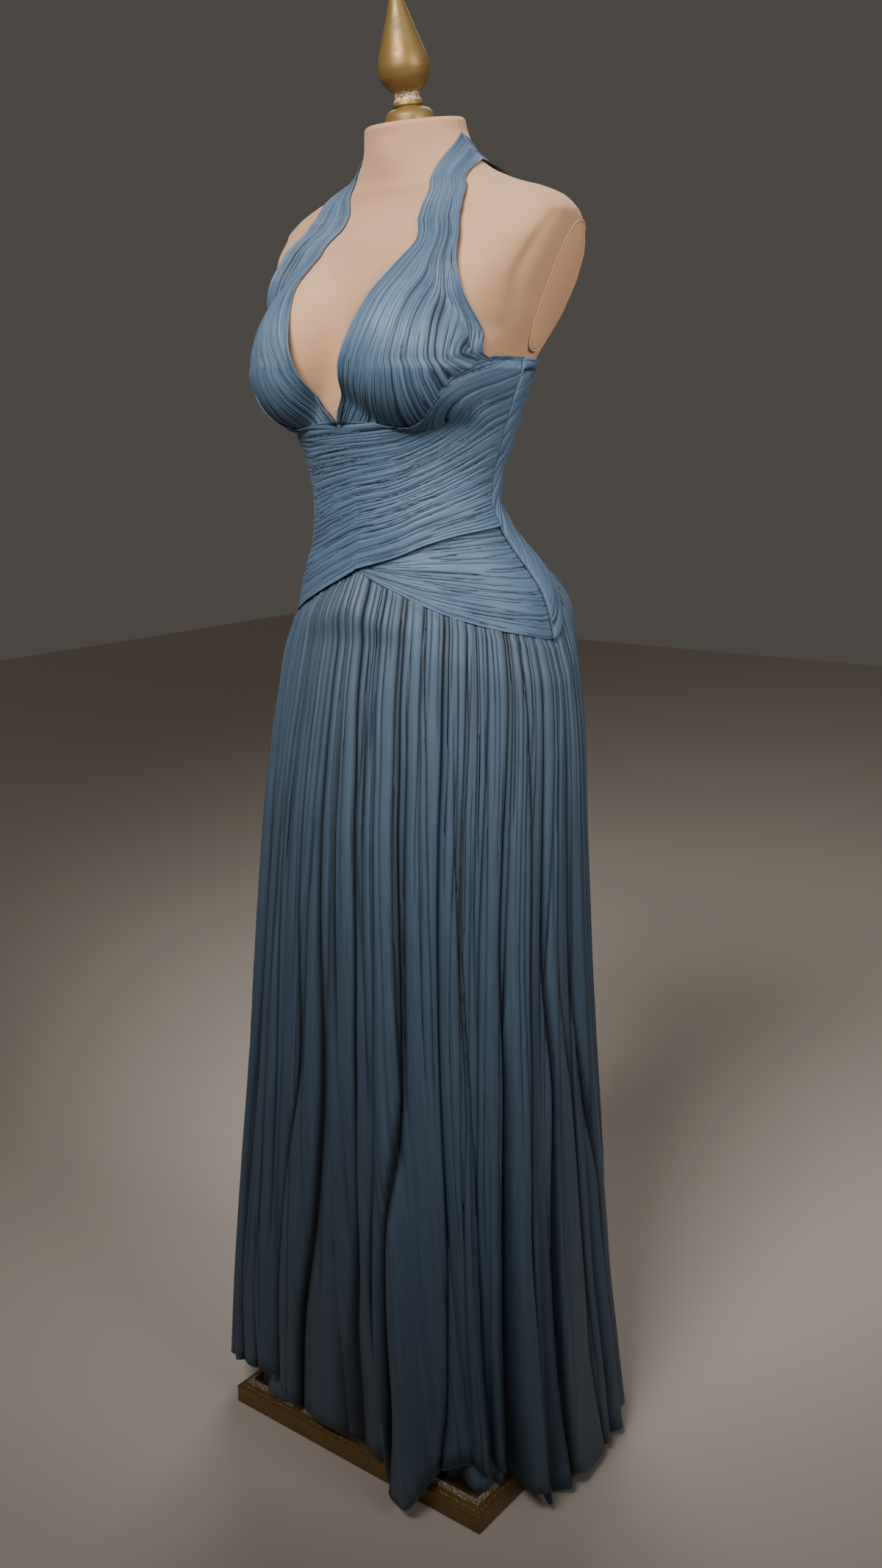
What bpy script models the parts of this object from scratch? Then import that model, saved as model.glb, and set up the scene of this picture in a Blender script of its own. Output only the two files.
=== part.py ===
"""Pleated halter evening gown on a limbless dress form.

Metres, +Z up, wearer's front towards -Y, wearer's left towards +X.  The origin is the
centre of the base's underside.  Angles run round the body from the centre front (0) to the
wearer's left side (90) and the centre back (180).
"""
import math

import bmesh
import bpy
import numpy as np

OBJECT_NAME = "evening_gown_on_dress_form"

# ---------------------------------------------------------------- driving dimensions
SEAM_GAP = 0.0003            # between pieces that meet
EDGE_GAP = 0.0012            # between cloth edges that meet where the body curves
CLOTH_WALL = 0.0020          # pleated cloth with its gathers pressed flat
STRAP_WALL = 0.0030          # two folded layers of gathered cloth
SKIRT_WALL = 0.0015
LINING_WALL = 0.0012
FORM_CLEARANCE = 0.0044      # the torso's surface below the lines that the cloth follows
UNDER_LAYER = 0.0010         # height of a cloth layer over the dress form
OVER_LAYER = 0.0042          # height of the wrap that crosses another layer
SIDE_SEAM = 92.0             # degrees from the centre front
ZIP_HALF_ANGLE = 2.2

BASE_SIZE = (0.407, 0.311)
BASE_Y = -0.048
BASE_SIDE_HEIGHT = 0.0235
BASE_TOP_INSET = 0.014
BASE_HEIGHT = 0.0315
POLE_RADIUS = 0.016
TORSO_BOTTOM = 0.880
NECK_TOP = 1.603
NECK_TILT = math.radians(8.0)

# Sections of the dress form, from the neck down to its lower rim:
# height, half width, front depth, back depth, centre y, power of the superellipse.
FORM_SECTIONS = (
    (1.603, 0.0550, 0.0550, 0.0550, -0.018, 2.0, 2.0),
    (1.590, 0.0570, 0.0560, 0.0550, -0.016, 2.0, 2.0),
    (1.575, 0.0635, 0.0600, 0.0560, -0.012, 1.8, 1.8),
    (1.562, 0.0730, 0.0640, 0.0600, -0.008, 1.7, 1.7),
    (1.548, 0.0900, 0.0650, 0.0640, -0.005, 1.7, 1.7),
    (1.537, 0.1130, 0.0655, 0.0670, -0.003, 1.8, 1.8),
    (1.531, 0.1290, 0.0660, 0.0690, -0.003, 1.9, 1.9),
    (1.523, 0.1560, 0.0665, 0.0720, -0.002, 2.0, 2.0),
    (1.511, 0.1800, 0.0695, 0.0765, -0.001, 2.2, 2.2),
    (1.493, 0.1930, 0.0800, 0.0820, 0.000, 2.7, 2.4),
    (1.465, 0.1990, 0.1030, 0.0870, 0.000, 3.5, 2.4),
    (1.435, 0.1930, 0.1230, 0.0890, -0.004, 3.5, 2.4),
    (1.408, 0.1810, 0.1300, 0.0900, -0.011, 3.2, 2.4),
    (1.372, 0.1640, 0.1280, 0.0950, -0.022, 2.75, 2.3),
    (1.340, 0.1490, 0.1210, 0.1020, -0.034, 2.3, 2.2),
    (1.290, 0.1340, 0.1120, 0.1100, -0.045, 2.1, 2.1),
    (1.262, 0.1260, 0.1010, 0.1030, -0.046, 2.0, 2.0),
    (1.227, 0.1160, 0.0920, 0.0920, -0.046, 2.0, 2.0),
    (1.198, 0.1130, 0.0880, 0.0880, -0.046, 2.0, 2.0),
    (1.169, 0.1190, 0.0940, 0.1000, -0.039, 2.0, 2.0),
    (1.143, 0.1300, 0.1040, 0.1150, -0.029, 2.0, 2.0),
    (1.118, 0.1450, 0.1170, 0.1300, -0.020, 2.0, 2.0),
    (1.090, 0.1590, 0.1280, 0.1370, -0.012, 2.0, 2.0),
    (1.050, 0.1690, 0.1410, 0.1420, -0.008, 2.0, 2.0),
    (1.010, 0.1730, 0.1460, 0.1440, -0.008, 2.0, 2.0),
    (0.960, 0.1710, 0.1440, 0.1410, -0.008, 2.0, 2.0),
    (0.880, 0.1580, 0.1340, 0.1280, -0.008, 2.0, 2.0),
)

# Mean line of the skirt's folds below the yoke, in the same columns.
SKIRT_SECTIONS = (
    (1.050, 0.1750, 0.1500, 0.1500, -0.008, 2.0),
    (0.990, 0.1850, 0.1620, 0.1570, -0.010, 2.0),
    (0.920, 0.1920, 0.1700, 0.1620, -0.014, 2.1),
    (0.830, 0.1970, 0.1760, 0.1660, -0.021, 2.2),
    (0.690, 0.2010, 0.1800, 0.1690, -0.027, 2.4),
    (0.550, 0.2070, 0.1810, 0.1720, -0.031, 2.6),
    (0.400, 0.2130, 0.1810, 0.1720, -0.033, 3.0),
    (0.240, 0.2200, 0.1790, 0.1640, -0.034, 3.4),
    (0.120, 0.2260, 0.1760, 0.1660, -0.032, 3.8),
    (0.000, 0.2330, 0.1740, 0.1750, -0.030, 4.0),
)

# Edges of the gown's pieces: angle from the centre front, height.
BODICE_TOP = ((0, 1.288), (20, 1.284), (36, 1.281), (48, 1.287), (58, 1.302), (66, 1.318),
              (73, 1.337), (80, 1.350), (92, 1.350), (124, 1.341), (150, 1.326), (180, 1.318))
CROSSING = ((0, 1.124), (20, 1.137), (40, 1.153), (60, 1.162), (80, 1.166), (92, 1.168))
YOKE = ((0, 1.123), (18, 1.102), (32, 1.085), (45, 1.072), (60, 1.060), (75, 1.051),
        (92, 1.043), (105, 1.070), (124, 1.104), (150, 1.124), (180, 1.132))
HEM = ((-180, 0.040), (-120, 0.042), (-90, 0.046), (-60, 0.054), (-45, 0.058), (-30, 0.056),
       (-18, 0.050), (-6, 0.042), (3, 0.040), (6, 0.036), (9, 0.014), (15, 0.014), (19, 0.038),
       (26, 0.050), (36, 0.054), (50, 0.045), (62, 0.036), (68, 0.010), (76, 0.008),
       (81, 0.022), (86, 0.010), (94, 0.012), (104, 0.026), (120, 0.034), (150, 0.038),
       (180, 0.040))

# The largest folds at the hem: angle, half width in degrees, rise.
FOLDS = ((-45, 24, 0.024), (12, 9, 0.034), (34, 8, 0.006), (56, 11, -0.012), (72, 7, 0.028),
         (89, 8, 0.026), (104, 8, 0.012), (150, 14, 0.010), (-80, 10, 0.010),
         (-110, 12, 0.014), (-150, 14, 0.010))

# The halter panel.  Its front half runs from the bodice's edge to the shoulder ridge.
HALTER_RIDGE = 0.66                 # the share of the rows that lies in front of the ridge
NECKLINE_HEIGHTS = (1.288, 1.585)   # the V's point, and the inner edge on the ridge
NECKLINE_ANGLE = 9.3                # of the inner edge once the V has opened
NECKLINE_OPEN = 0.25                # the share of the way up at which it has
ARMHOLE_HEIGHTS = (1.349, 1.555)    # the outer edge, at the underarm and on the ridge
ARMHOLE_ANGLES = (80.0, 28.0)       # the outer edge, at the underarm and on the strap
STRAP_TURN = 0.667                  # where both edges start to turn over the shoulder
# Behind the ridge: row, inner angle, inner height, outer angle, outer height.
HALTER_BEHIND = (
    (0.66, 90.0, 1.585, 90.0, 1.555),
    (0.70, 117.0, 1.573, 111.0, 1.545),
    (0.75, 139.0, 1.550, 136.0, 1.529),
    (0.81, 165.0, 1.508, 155.0, 1.497),
    (0.90, 172.5, 1.420, 162.5, 1.415),
    (1.00, 176.5, 1.322, 164.0, 1.326),
)

BUST_CENTRE = (0.072, -0.112, 1.350)
BUST_RADIUS = 0.0760
BUST_RISE = 0.105            # reach of the bust's upper slope
BUST_WIDTH = 0.0750
BUST_BLEND = 0.012

ARM_PLATE_TOP = (1.500, 0.190)       # height, distance of the flat side of the shoulder
ARM_PLATE_BOTTOM = (1.345, 0.1455)
ARM_PLATE_WALL = 0.004
ARM_PLATE_LIFT = -0.0026
ARM_PLATE_LEAN = 0.25                # how far back a plate leans as it rises

# Turned profiles: distance from the axis, height.
FINIAL_PROFILE = (
    (0.0000, 0.1420), (0.0030, 0.1395), (0.0062, 0.1260), (0.0110, 0.1100),
    (0.0170, 0.0920), (0.0230, 0.0750), (0.0272, 0.0620), (0.0283, 0.0540),
    (0.0268, 0.0450), (0.0215, 0.0365), (0.0168, 0.0315), (0.0146, 0.0290),
    (0.0136, 0.0245), (0.0156, 0.0205), (0.0164, 0.0175), (0.0148, 0.0150),
    (0.0215, 0.0125), (0.0262, 0.0070), (0.0275, 0.0000), (0.0000, 0.0000),
)
FINIAL_PLACE = (0.0, -0.027)
FINIAL_TILT = math.radians(9.5)

MATERIALS = {                # colour, roughness, metallic
    "gown_crepe": ((0.125, 0.180, 0.245), 0.55, 0.0),
    "lining_satin": ((0.110, 0.150, 0.200), 0.35, 0.0),
    "zip_tape": ((0.080, 0.110, 0.145), 0.60, 0.0),
    "form_jersey": ((0.560, 0.390, 0.270), 0.85, 0.0),
    "old_gilding": ((0.350, 0.250, 0.110), 0.45, 0.6),
    "pole_steel": ((0.300, 0.290, 0.270), 0.40, 0.9),
}


# ---------------------------------------------------------------- numbers
def smooth_table(table, at):
    """Values of a table's columns at the given places, on a smooth curve with no overshoot."""
    rows = np.array(table, dtype=float)
    rows = rows[np.argsort(rows[:, 0])]
    places, values = rows[:, 0], rows[:, 1:]
    step = np.diff(places)[:, None]
    slope = np.diff(values, axis=0) / step
    tangent = np.zeros_like(values)
    same_way = slope[:-1] * slope[1:] > 0
    mean = 2 * slope[:-1] * slope[1:] / np.where(same_way, slope[:-1] + slope[1:], 1.0)
    tangent[1:-1] = np.where(same_way, mean, 0.0)
    tangent[0], tangent[-1] = slope[0], slope[-1]
    at = np.clip(np.asarray(at, dtype=float), places[0], places[-1])
    i = np.clip(np.searchsorted(places, at, side="right") - 1, 0, len(places) - 2)
    h = step[i]
    t = ((at - places[i]) / h[..., 0])[..., None]
    value = ((2 * t**3 - 3 * t**2 + 1) * values[i] + (t**3 - 2 * t**2 + t) * h * tangent[i]
             + (3 * t**2 - 2 * t**3) * values[i + 1] + (t**3 - t**2) * h * tangent[i + 1])
    return np.moveaxis(value, -1, 0)


def edge_height(table, angle, mirrored=True):
    return smooth_table(table, np.abs(angle) if mirrored else angle)[0]


def smooth_step(x):
    x = np.clip(x, 0.0, 1.0)
    return x * x * (3 - 2 * x)


# ---------------------------------------------------------------- the body's surface
def bust_lift(x, y, z):
    """How far the bust pushes the front of the body forward at a point of its section."""
    centre_x, centre_y, centre_z = BUST_CENTRE
    reach = np.where(z > centre_z, BUST_RISE, BUST_RADIUS)
    d = np.hypot((np.abs(x) - centre_x) / BUST_WIDTH, (z - centre_z) / reach)
    fullness = 0.5 + 0.45 * np.clip((z - centre_z) / BUST_RISE, 0, 1)
    dome = centre_y - BUST_RADIUS * np.clip(1 - d * d, 0, 1) ** fullness
    dome = dome + 0.2 * np.clip(d - 1, 0, 9)
    mix = np.clip(0.5 + 0.5 * (y - dome) / BUST_BLEND, 0, 1)
    front = y * (1 - mix) + dome * mix - BUST_BLEND * mix * (1 - mix)
    return np.maximum(y - front, 0.0)


def ring_points(table, angle, height):
    """Points of a table's sections: superellipses whose front and back depths differ."""
    half_width, front, back, centre_y, power, *power_behind = smooth_table(table, height)
    sine, cosine = np.sin(np.radians(angle)), np.cos(np.radians(angle))
    power = np.where(cosine > 0, power, power_behind[0] if power_behind else power)
    x = half_width * np.sign(sine) * np.abs(sine) ** (2 / power)
    depth = np.where(cosine > 0, front, back)
    y = centre_y - depth * np.sign(cosine) * np.abs(cosine) ** (2 / power)
    return x, y, cosine


def arm_plate_distance(z):
    (top_z, top_x), (low_z, low_x) = ARM_PLATE_TOP, ARM_PLATE_BOTTOM
    return low_x + (z - low_z) * (top_x - low_x) / (top_z - low_z)


def form_points(angle, height):
    """Points of the dress form at angles round it and heights; its shoulders end flat."""
    angle, height = np.broadcast_arrays(np.asarray(angle, float), np.asarray(height, float))
    x, y, cosine = ring_points(FORM_SECTIONS, angle, height)
    y = y - bust_lift(x, y, height) * smooth_step(cosine / 0.42)
    flat = arm_plate_distance(height) + 0.6 * np.maximum(ARM_PLATE_BOTTOM[0] - height, 0.0)
    widest = np.broadcast_to(smooth_table(FORM_SECTIONS, height)[0], x.shape)
    x = np.where(cosine > 0, x * np.minimum(flat / widest, 1.0), np.clip(x, -flat, flat))
    return np.stack([x, y, height], axis=-1)


def lifted(points, height):
    """A grid of points moved out along its own normals."""
    along = np.gradient(points, axis=0)
    across = np.gradient(points, axis=1)
    normal = np.cross(across, along)
    normal /= np.linalg.norm(normal, axis=-1, keepdims=True)
    return points + normal * np.asarray(height)[..., None]


# ---------------------------------------------------------------- objects
def material(name):
    found = bpy.data.materials.get(name)
    if found:
        return found
    colour, roughness, metallic = MATERIALS[name]
    made = bpy.data.materials.new(name)
    made.use_nodes = True
    shader = made.node_tree.nodes["Principled BSDF"]
    shader.inputs["Base Color"].default_value = (*colour, 1.0)
    shader.inputs["Roughness"].default_value = roughness
    shader.inputs["Metallic"].default_value = metallic
    made.diffuse_color = (*colour, 1.0)
    return made


def new_object(name, mesh, finish, collection):
    made = bpy.data.objects.new(name, mesh)
    mesh.materials.append(material(finish))
    collection.objects.link(made)
    return made


def grid_mesh(name, points, closed=False):
    """A mesh of quads on a grid whose rows run up the piece and whose columns run round it."""
    rows, columns = points.shape[:2]
    faces = []
    for r in range(rows - 1):
        for c in range(columns if closed else columns - 1):
            d = (c + 1) % columns
            faces.append((r * columns + c, r * columns + d,
                          (r + 1) * columns + d, (r + 1) * columns + c))
    mesh = bpy.data.meshes.new(name)
    mesh.from_pydata(points.reshape(-1, 3).tolist(), [], faces)
    mesh.validate()
    return mesh


def cloth(name, points, wall, finish, collection, closed=False):
    """An open sheet of cloth, thickened outwards from its inner side."""
    made = new_object(name, grid_mesh(name, points, closed), finish, collection)
    thicken = made.modifiers.new("wall", "SOLIDIFY")
    thicken.thickness = wall
    thicken.offset = 1.0
    return made


def turned(name, profile, place, tilt, finish, collection, steps=26):
    """A profile spun about its own upright axis."""
    mesh = bpy.data.meshes.new(name)
    edges = [(i, i + 1) for i in range(len(profile) - 1)]
    mesh.from_pydata([(x, 0.0, z) for x, z in profile], edges, [])
    made = new_object(name, mesh, finish, collection)
    made.location = place
    made.rotation_euler = (tilt, 0.0, 0.0)
    spin = made.modifiers.new("spin", "SCREW")
    spin.steps = spin.render_steps = steps
    spin.use_merge_vertices = True
    spin.merge_threshold = 0.0001
    return made


# ---------------------------------------------------------------- the dress form
def torso(collection):
    """The padded torso: rings of the form's sections, closed by a cap and a bottom."""
    heights = np.concatenate([np.linspace(TORSO_BOTTOM, 1.15, 12, endpoint=False),
                              np.linspace(1.15, 1.48, 18, endpoint=False),
                              np.linspace(1.48, NECK_TOP, 12)])
    angles = np.linspace(-180, 180, 60, endpoint=False)
    points = form_points(angles[None, :], heights[:, None])
    points = lifted(points, np.full(points.shape[:2], -FORM_CLEARANCE))
    tilt_from = 1.585
    lean = np.clip((points[..., 2] - tilt_from) / (NECK_TOP - tilt_from), 0, 1)
    points[..., 2] += lean * math.tan(NECK_TILT) * (points[..., 1] + 0.018)
    mesh = grid_mesh("form_torso", points, closed=True)
    shape = bmesh.new()
    shape.from_mesh(mesh)
    bmesh.ops.holes_fill(shape, edges=[e for e in shape.edges if e.is_boundary])
    shape.to_mesh(mesh)
    shape.free()
    return new_object("form_torso", mesh, "form_jersey", collection)


def arm_plate(side, collection):
    """A thin oval cap on the flat end of a shoulder."""
    (top_z, top_x), (low_z, low_x) = ARM_PLATE_TOP, ARM_PLATE_BOTTOM
    slope = math.atan2(top_x - low_x, top_z - low_z)
    middle = 0.53
    centre = (low_x + (top_x - low_x) * middle, 0.016, low_z + (top_z - low_z) * middle)
    name = f"arm_plate_{'left' if side > 0 else 'right'}"
    mesh = bpy.data.meshes.new(name)
    shape = bmesh.new()
    bmesh.ops.create_cone(shape, cap_ends=True, segments=28, radius1=1.0, radius2=0.94, depth=1.0)
    for vertex in shape.verts:
        across, up, out = vertex.co.x * 0.024, vertex.co.y * 0.070, vertex.co.z + 0.5
        out = ARM_PLATE_LIFT + out * ARM_PLATE_WALL
        vertex.co = (side * (centre[0] + out * math.cos(slope) + up * math.sin(slope)),
                     centre[1] + across + up * ARM_PLATE_LEAN,
                     centre[2] - out * math.sin(slope) + up * math.cos(slope))
    shape.normal_update()
    bmesh.ops.recalc_face_normals(shape, faces=shape.faces)
    shape.to_mesh(mesh)
    shape.free()
    return new_object(name, mesh, "form_jersey", collection)


def stand(collection):
    x, y = FINIAL_PLACE
    foot = NECK_TOP + math.tan(NECK_TILT) * (y + 0.018) + 4 * SEAM_GAP
    turned("finial", FINIAL_PROFILE, (x, y, foot), FINIAL_TILT, "old_gilding", collection)
    bottom = BASE_HEIGHT + SEAM_GAP
    top = TORSO_BOTTOM - SEAM_GAP
    flange = 0.012
    profile = ((0.0, top), (POLE_RADIUS, top), (POLE_RADIUS, bottom + flange),
               (POLE_RADIUS * 2, bottom + flange * 0.6), (POLE_RADIUS * 2.2, bottom),
               (0.0, bottom))
    turned("pole", profile, (0.0, BASE_Y, 0.0), 0.0, "pole_steel", collection, steps=24)


def base(collection):
    """The base: a plain side under a stepped moulding, as stacked rectangular rings."""
    inset = BASE_TOP_INSET
    steps = ((0.0, 0.0), (0.0, BASE_SIDE_HEIGHT), (inset * 0.25, BASE_SIDE_HEIGHT + 0.0012),
             (inset * 0.35, BASE_SIDE_HEIGHT + 0.0030), (inset * 0.75, BASE_SIDE_HEIGHT + 0.0038),
             (inset, BASE_HEIGHT))
    corners = np.array([(1, -1), (1, 1), (-1, 1), (-1, -1)], dtype=float)
    rings = [np.column_stack([corners * (np.array(BASE_SIZE) / 2 - step) + (0, BASE_Y),
                              np.full(4, height)])
             for step, height in steps]
    mesh = grid_mesh("base", np.array(rings), closed=True)
    shape = bmesh.new()
    shape.from_mesh(mesh)
    bmesh.ops.holes_fill(shape, edges=[e for e in shape.edges if e.is_boundary])
    shape.normal_update()
    bmesh.ops.recalc_face_normals(shape, faces=shape.faces)
    shape.to_mesh(mesh)
    shape.free()
    return new_object("base", mesh, "old_gilding", collection)


# ---------------------------------------------------------------- the bodice
def body_patch(angles, low, high, rows, height):
    """A grid over the form between two edges, lifted off it."""
    t = np.linspace(0, 1, rows)[:, None]
    points = form_points(angles[None, :], low[None, :] * (1 - t) + high[None, :] * t)
    return lifted(points, np.full(points.shape[:2], height))


def gap_angle(radius=0.13):
    return math.degrees(2 * SEAM_GAP / radius)


def midriff_wrap(collection):
    """The crosswise-pleated wrap, from side seam to side seam, crossing at the centre front."""
    angles = np.linspace(-SIDE_SEAM + gap_angle(), SIDE_SEAM - gap_angle(), 33)
    top = edge_height(BODICE_TOP, angles) - EDGE_GAP
    low = np.where(angles > 0, edge_height(CROSSING, angles), edge_height(YOKE, angles))
    points = body_patch(angles, low, top, 9, OVER_LAYER)
    return cloth("midriff_wrap", points, CLOTH_WALL, "gown_crepe", collection)


def hip_wrap(collection):
    """The left hip wrap, tucked under the midriff wrap's diagonal edge."""
    tuck = 0.012
    angles = np.linspace(1.0, SIDE_SEAM - gap_angle(), 16)
    top = edge_height(CROSSING, angles) + tuck
    low = edge_height(YOKE, angles)
    points = body_patch(angles, low, top, 6, UNDER_LAYER)
    return cloth("hip_wrap_left", points, CLOTH_WALL, "gown_crepe", collection)


def back_bodice(side, collection):
    angles = np.linspace(SIDE_SEAM + gap_angle(), 180 - ZIP_HALF_ANGLE - gap_angle(), 12)
    angles = angles if side > 0 else -angles[::-1]
    top = edge_height(BODICE_TOP, angles)
    low = edge_height(YOKE, angles)
    points = body_patch(angles, low, top, 9, UNDER_LAYER)
    name = f"back_bodice_{'left' if side > 0 else 'right'}"
    return cloth(name, points, CLOTH_WALL + 0.0005, "gown_crepe", collection)


def back_zip(collection):
    """The closed concealed zip: a narrow strip down the centre back seam."""
    angles = np.linspace(180 - ZIP_HALF_ANGLE, 180 + ZIP_HALF_ANGLE, 3)
    top = edge_height(BODICE_TOP, np.full(3, 180.0))
    low = edge_height(YOKE, np.full(3, 180.0))
    points = body_patch(angles, low, top, 9, UNDER_LAYER)
    return cloth("back_zip", points, CLOTH_WALL, "zip_tape", collection)


def halter_edges(v):
    """Inner angle and height, then outer angle and height, of the halter panel's rows."""
    t = np.minimum(v / HALTER_RIDGE, 1.0)
    turn = np.maximum((t - STRAP_TURN) / (1 - STRAP_TURN), 0.0) ** 2
    inner = NECKLINE_ANGLE * np.sin(0.5 * math.pi * np.minimum(t / NECKLINE_OPEN, 1.0)) + 0.4
    outer = ARMHOLE_ANGLES[0] + (ARMHOLE_ANGLES[1] - ARMHOLE_ANGLES[0]) * smooth_step(t / STRAP_TURN)
    front = (inner + (90.0 - inner) * turn,
             NECKLINE_HEIGHTS[0] + (NECKLINE_HEIGHTS[1] - NECKLINE_HEIGHTS[0]) * t,
             outer + (90.0 - outer) * turn,
             ARMHOLE_HEIGHTS[0] + (ARMHOLE_HEIGHTS[1] - ARMHOLE_HEIGHTS[0]) * smooth_step(t))
    behind = smooth_table(HALTER_BEHIND, v)
    return [np.where(v > HALTER_RIDGE, back, ahead) for back, ahead in zip(behind, front)]


def halter_grid(columns=11, rows=27):
    """The left halter panel; its columns follow the gathers, from inner to outer edge.

    A row runs straight between the two edges in angle and height.  The lowest rows are
    drawn down to the bodice's top edge.
    """
    ridge = round(HALTER_RIDGE * (rows - 1))
    v = np.concatenate([np.linspace(0, HALTER_RIDGE, ridge + 1),
                        np.linspace(HALTER_RIDGE, 1, rows - ridge)[1:]])[:, None]
    u = np.linspace(0, 1, columns)[None, :]
    inner_angle, inner_z, outer_angle, outer_z = halter_edges(v)
    angle = inner_angle * (1 - u) + outer_angle * u
    z = inner_z * (1 - u) + outer_z * u
    fade = np.clip(1 - v / HALTER_RIDGE * 1.5, 0, 1) ** 1.5
    z = z + fade * (edge_height(BODICE_TOP, angle[:1]) + SEAM_GAP - z[:1])
    return form_points(angle, z), ridge


def halter(side, collection):
    """A bust panel with its strap, and the back strap that it meets on the shoulder."""
    grid, ridge_row = halter_grid()
    grid = lifted(grid, np.full(grid.shape[:2], UNDER_LAYER))
    ease = 0.5 * SEAM_GAP
    front, back = grid[:ridge_row + 1].copy(), grid[ridge_row:].copy()
    front[-1, :, 1] -= ease
    back[0, :, 1] += ease
    if side < 0:
        front, back = front[:, ::-1] * (-1, 1, 1), back[:, ::-1] * (-1, 1, 1)
    word = "left" if side > 0 else "right"
    cloth(f"bust_{word}", front, STRAP_WALL, "gown_crepe", collection)
    cloth(f"back_strap_{word}", back, STRAP_WALL, "gown_crepe", collection)


# ---------------------------------------------------------------- the skirt
FOLD_WAVES = (               # folds round the hem, share of the depth, phase
    (26, 0.55, 0.4), (17, 0.30, 2.1), (9, 0.25, 4.0),
)
FOLD_DEPTH_TOP = 0.0006
FOLD_DEPTH_HEM = 0.0110


def fold_wave(angle):
    turn = np.radians(angle)
    return sum(share * np.sin(count * turn + phase) for count, share, phase in FOLD_WAVES)


def large_folds(angle):
    """The rise of the largest folds at the hem: flat in the middle and eased at both sides."""
    return sum(rise * smooth_step(2 - 2 * np.abs(angle - place) / half_width)
               for place, half_width, rise in FOLDS)


def skirt_points(angles, rows):
    """The skirt from the yoke's seam to the hem; the folds deepen towards the hem."""
    t = (np.linspace(1, 0, rows) ** 1.7)[:, None]
    top = edge_height(YOKE, angles)[None, :] - EDGE_GAP
    low = edge_height(HEM, angles, mirrored=False)[None, :]
    z = top + (low - top) * t
    x, y, _ = ring_points(SKIRT_SECTIONS, angles[None, :], z)
    hang = np.stack([x, y, z], axis=-1)
    start = form_points(np.broadcast_to(angles[None, :], z.shape), z)
    start = lifted(start, np.full(z.shape, UNDER_LAYER))
    blend = smooth_step((top - z) / 0.05)[..., None]
    points = start * (1 - blend) + hang * blend
    depth = (FOLD_DEPTH_TOP + (FOLD_DEPTH_HEM - FOLD_DEPTH_TOP) * t ** 0.8) * fold_wave(angles)
    return lifted(points, depth + t * t * large_folds(angles))


def skirt_panel(name, first, last, collection, columns=26, rows=10):
    """A quarter of the skirt; a spare column at each end makes its seams meet the next one's."""
    gap = gap_angle(0.17)
    step = (last - first - 2 * gap) / (columns - 1)
    angles = first + gap + step * np.arange(-1, columns + 1)
    points = skirt_points(angles, rows)[:, 1:-1]
    return cloth(name, points, SKIRT_WALL, "gown_crepe", collection)


def underskirt_points(columns=32, rows=8):
    """The satin lining: a plain tube inside the folds that breaks outwards on the base."""
    angles = np.linspace(-180, 180, columns, endpoint=False)
    top_z, low_z = 1.005, BASE_HEIGHT + 0.0030
    t = (np.linspace(1, 0, rows))[:, None]
    z = top_z + (low_z - top_z) * t + 0 * angles[None, :]
    x, y, _ = ring_points(SKIRT_SECTIONS, angles[None, :], z)
    inset = 0.0065 + 0.0185 * smooth_step(t * 1.5)
    around = np.stack([x, y, z], axis=-1)
    around = np.concatenate([around[:, -1:], around, around[:, :1]], axis=1)
    return lifted(around, -np.broadcast_to(inset, around.shape[:2]))[:, 1:-1]


def underskirt(collection):
    points = underskirt_points()
    return cloth("underskirt", points, LINING_WALL, "lining_satin", collection, closed=True)


# ---------------------------------------------------------------- the whole
def build():
    for old in list(bpy.data.objects):
        bpy.data.objects.remove(old, do_unlink=True)
    collection = bpy.data.collections.new(OBJECT_NAME)
    bpy.context.scene.collection.children.link(collection)
    torso(collection)
    stand(collection)
    base(collection)
    for side in (1, -1):
        arm_plate(side, collection)
        halter(side, collection)
        back_bodice(side, collection)
    midriff_wrap(collection)
    hip_wrap(collection)
    back_zip(collection)
    skirt_panel("skirt_front_left", 0, SIDE_SEAM, collection)
    skirt_panel("skirt_back_left", SIDE_SEAM, 180, collection)
    skirt_panel("skirt_back_right", -180, -SIDE_SEAM, collection)
    skirt_panel("skirt_front_right", -SIDE_SEAM, 0, collection)
    underskirt(collection)


build()
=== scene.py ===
"""Pleated halter evening gown on a limbless dress form: its finished look.

Metres, +Z up, wearer's front towards -Y, wearer's left towards +X.  Angles run round the
body from the centre front (0) to the wearer's left side (90) and the centre back (180).
Cloth grids have rows that run up and columns that run towards the wearer's left, so that
their faces point outwards.
"""
import math

import bmesh
import bpy
import numpy as np
from mathutils import Euler, Matrix


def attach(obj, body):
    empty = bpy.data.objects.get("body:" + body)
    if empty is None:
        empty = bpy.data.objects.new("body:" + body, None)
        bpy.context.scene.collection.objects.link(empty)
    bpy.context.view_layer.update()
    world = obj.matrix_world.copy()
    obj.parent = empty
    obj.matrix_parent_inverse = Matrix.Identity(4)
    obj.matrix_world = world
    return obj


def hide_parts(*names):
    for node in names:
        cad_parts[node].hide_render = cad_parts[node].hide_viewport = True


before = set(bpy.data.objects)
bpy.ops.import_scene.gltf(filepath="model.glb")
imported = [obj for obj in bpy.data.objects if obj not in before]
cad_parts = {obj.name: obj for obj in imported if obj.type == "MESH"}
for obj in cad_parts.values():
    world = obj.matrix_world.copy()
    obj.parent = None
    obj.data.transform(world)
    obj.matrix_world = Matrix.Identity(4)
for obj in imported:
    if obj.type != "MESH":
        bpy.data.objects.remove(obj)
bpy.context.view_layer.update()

# ---------------------------------------------------------------- sizes
BASE_SIZE = (0.407, 0.311)
BASE_Y = -0.048
BASE_HEIGHT = 0.0315
BASE_SIDE_HEIGHT = 0.0235
POLE_RADIUS = 0.016
TORSO_BOTTOM = 0.88
NECK_TOP = 1.603
NECK_TILT = math.radians(8.0)
NECK_AXIS_Y = -0.018
SIDE_SEAM = 92.0
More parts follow.
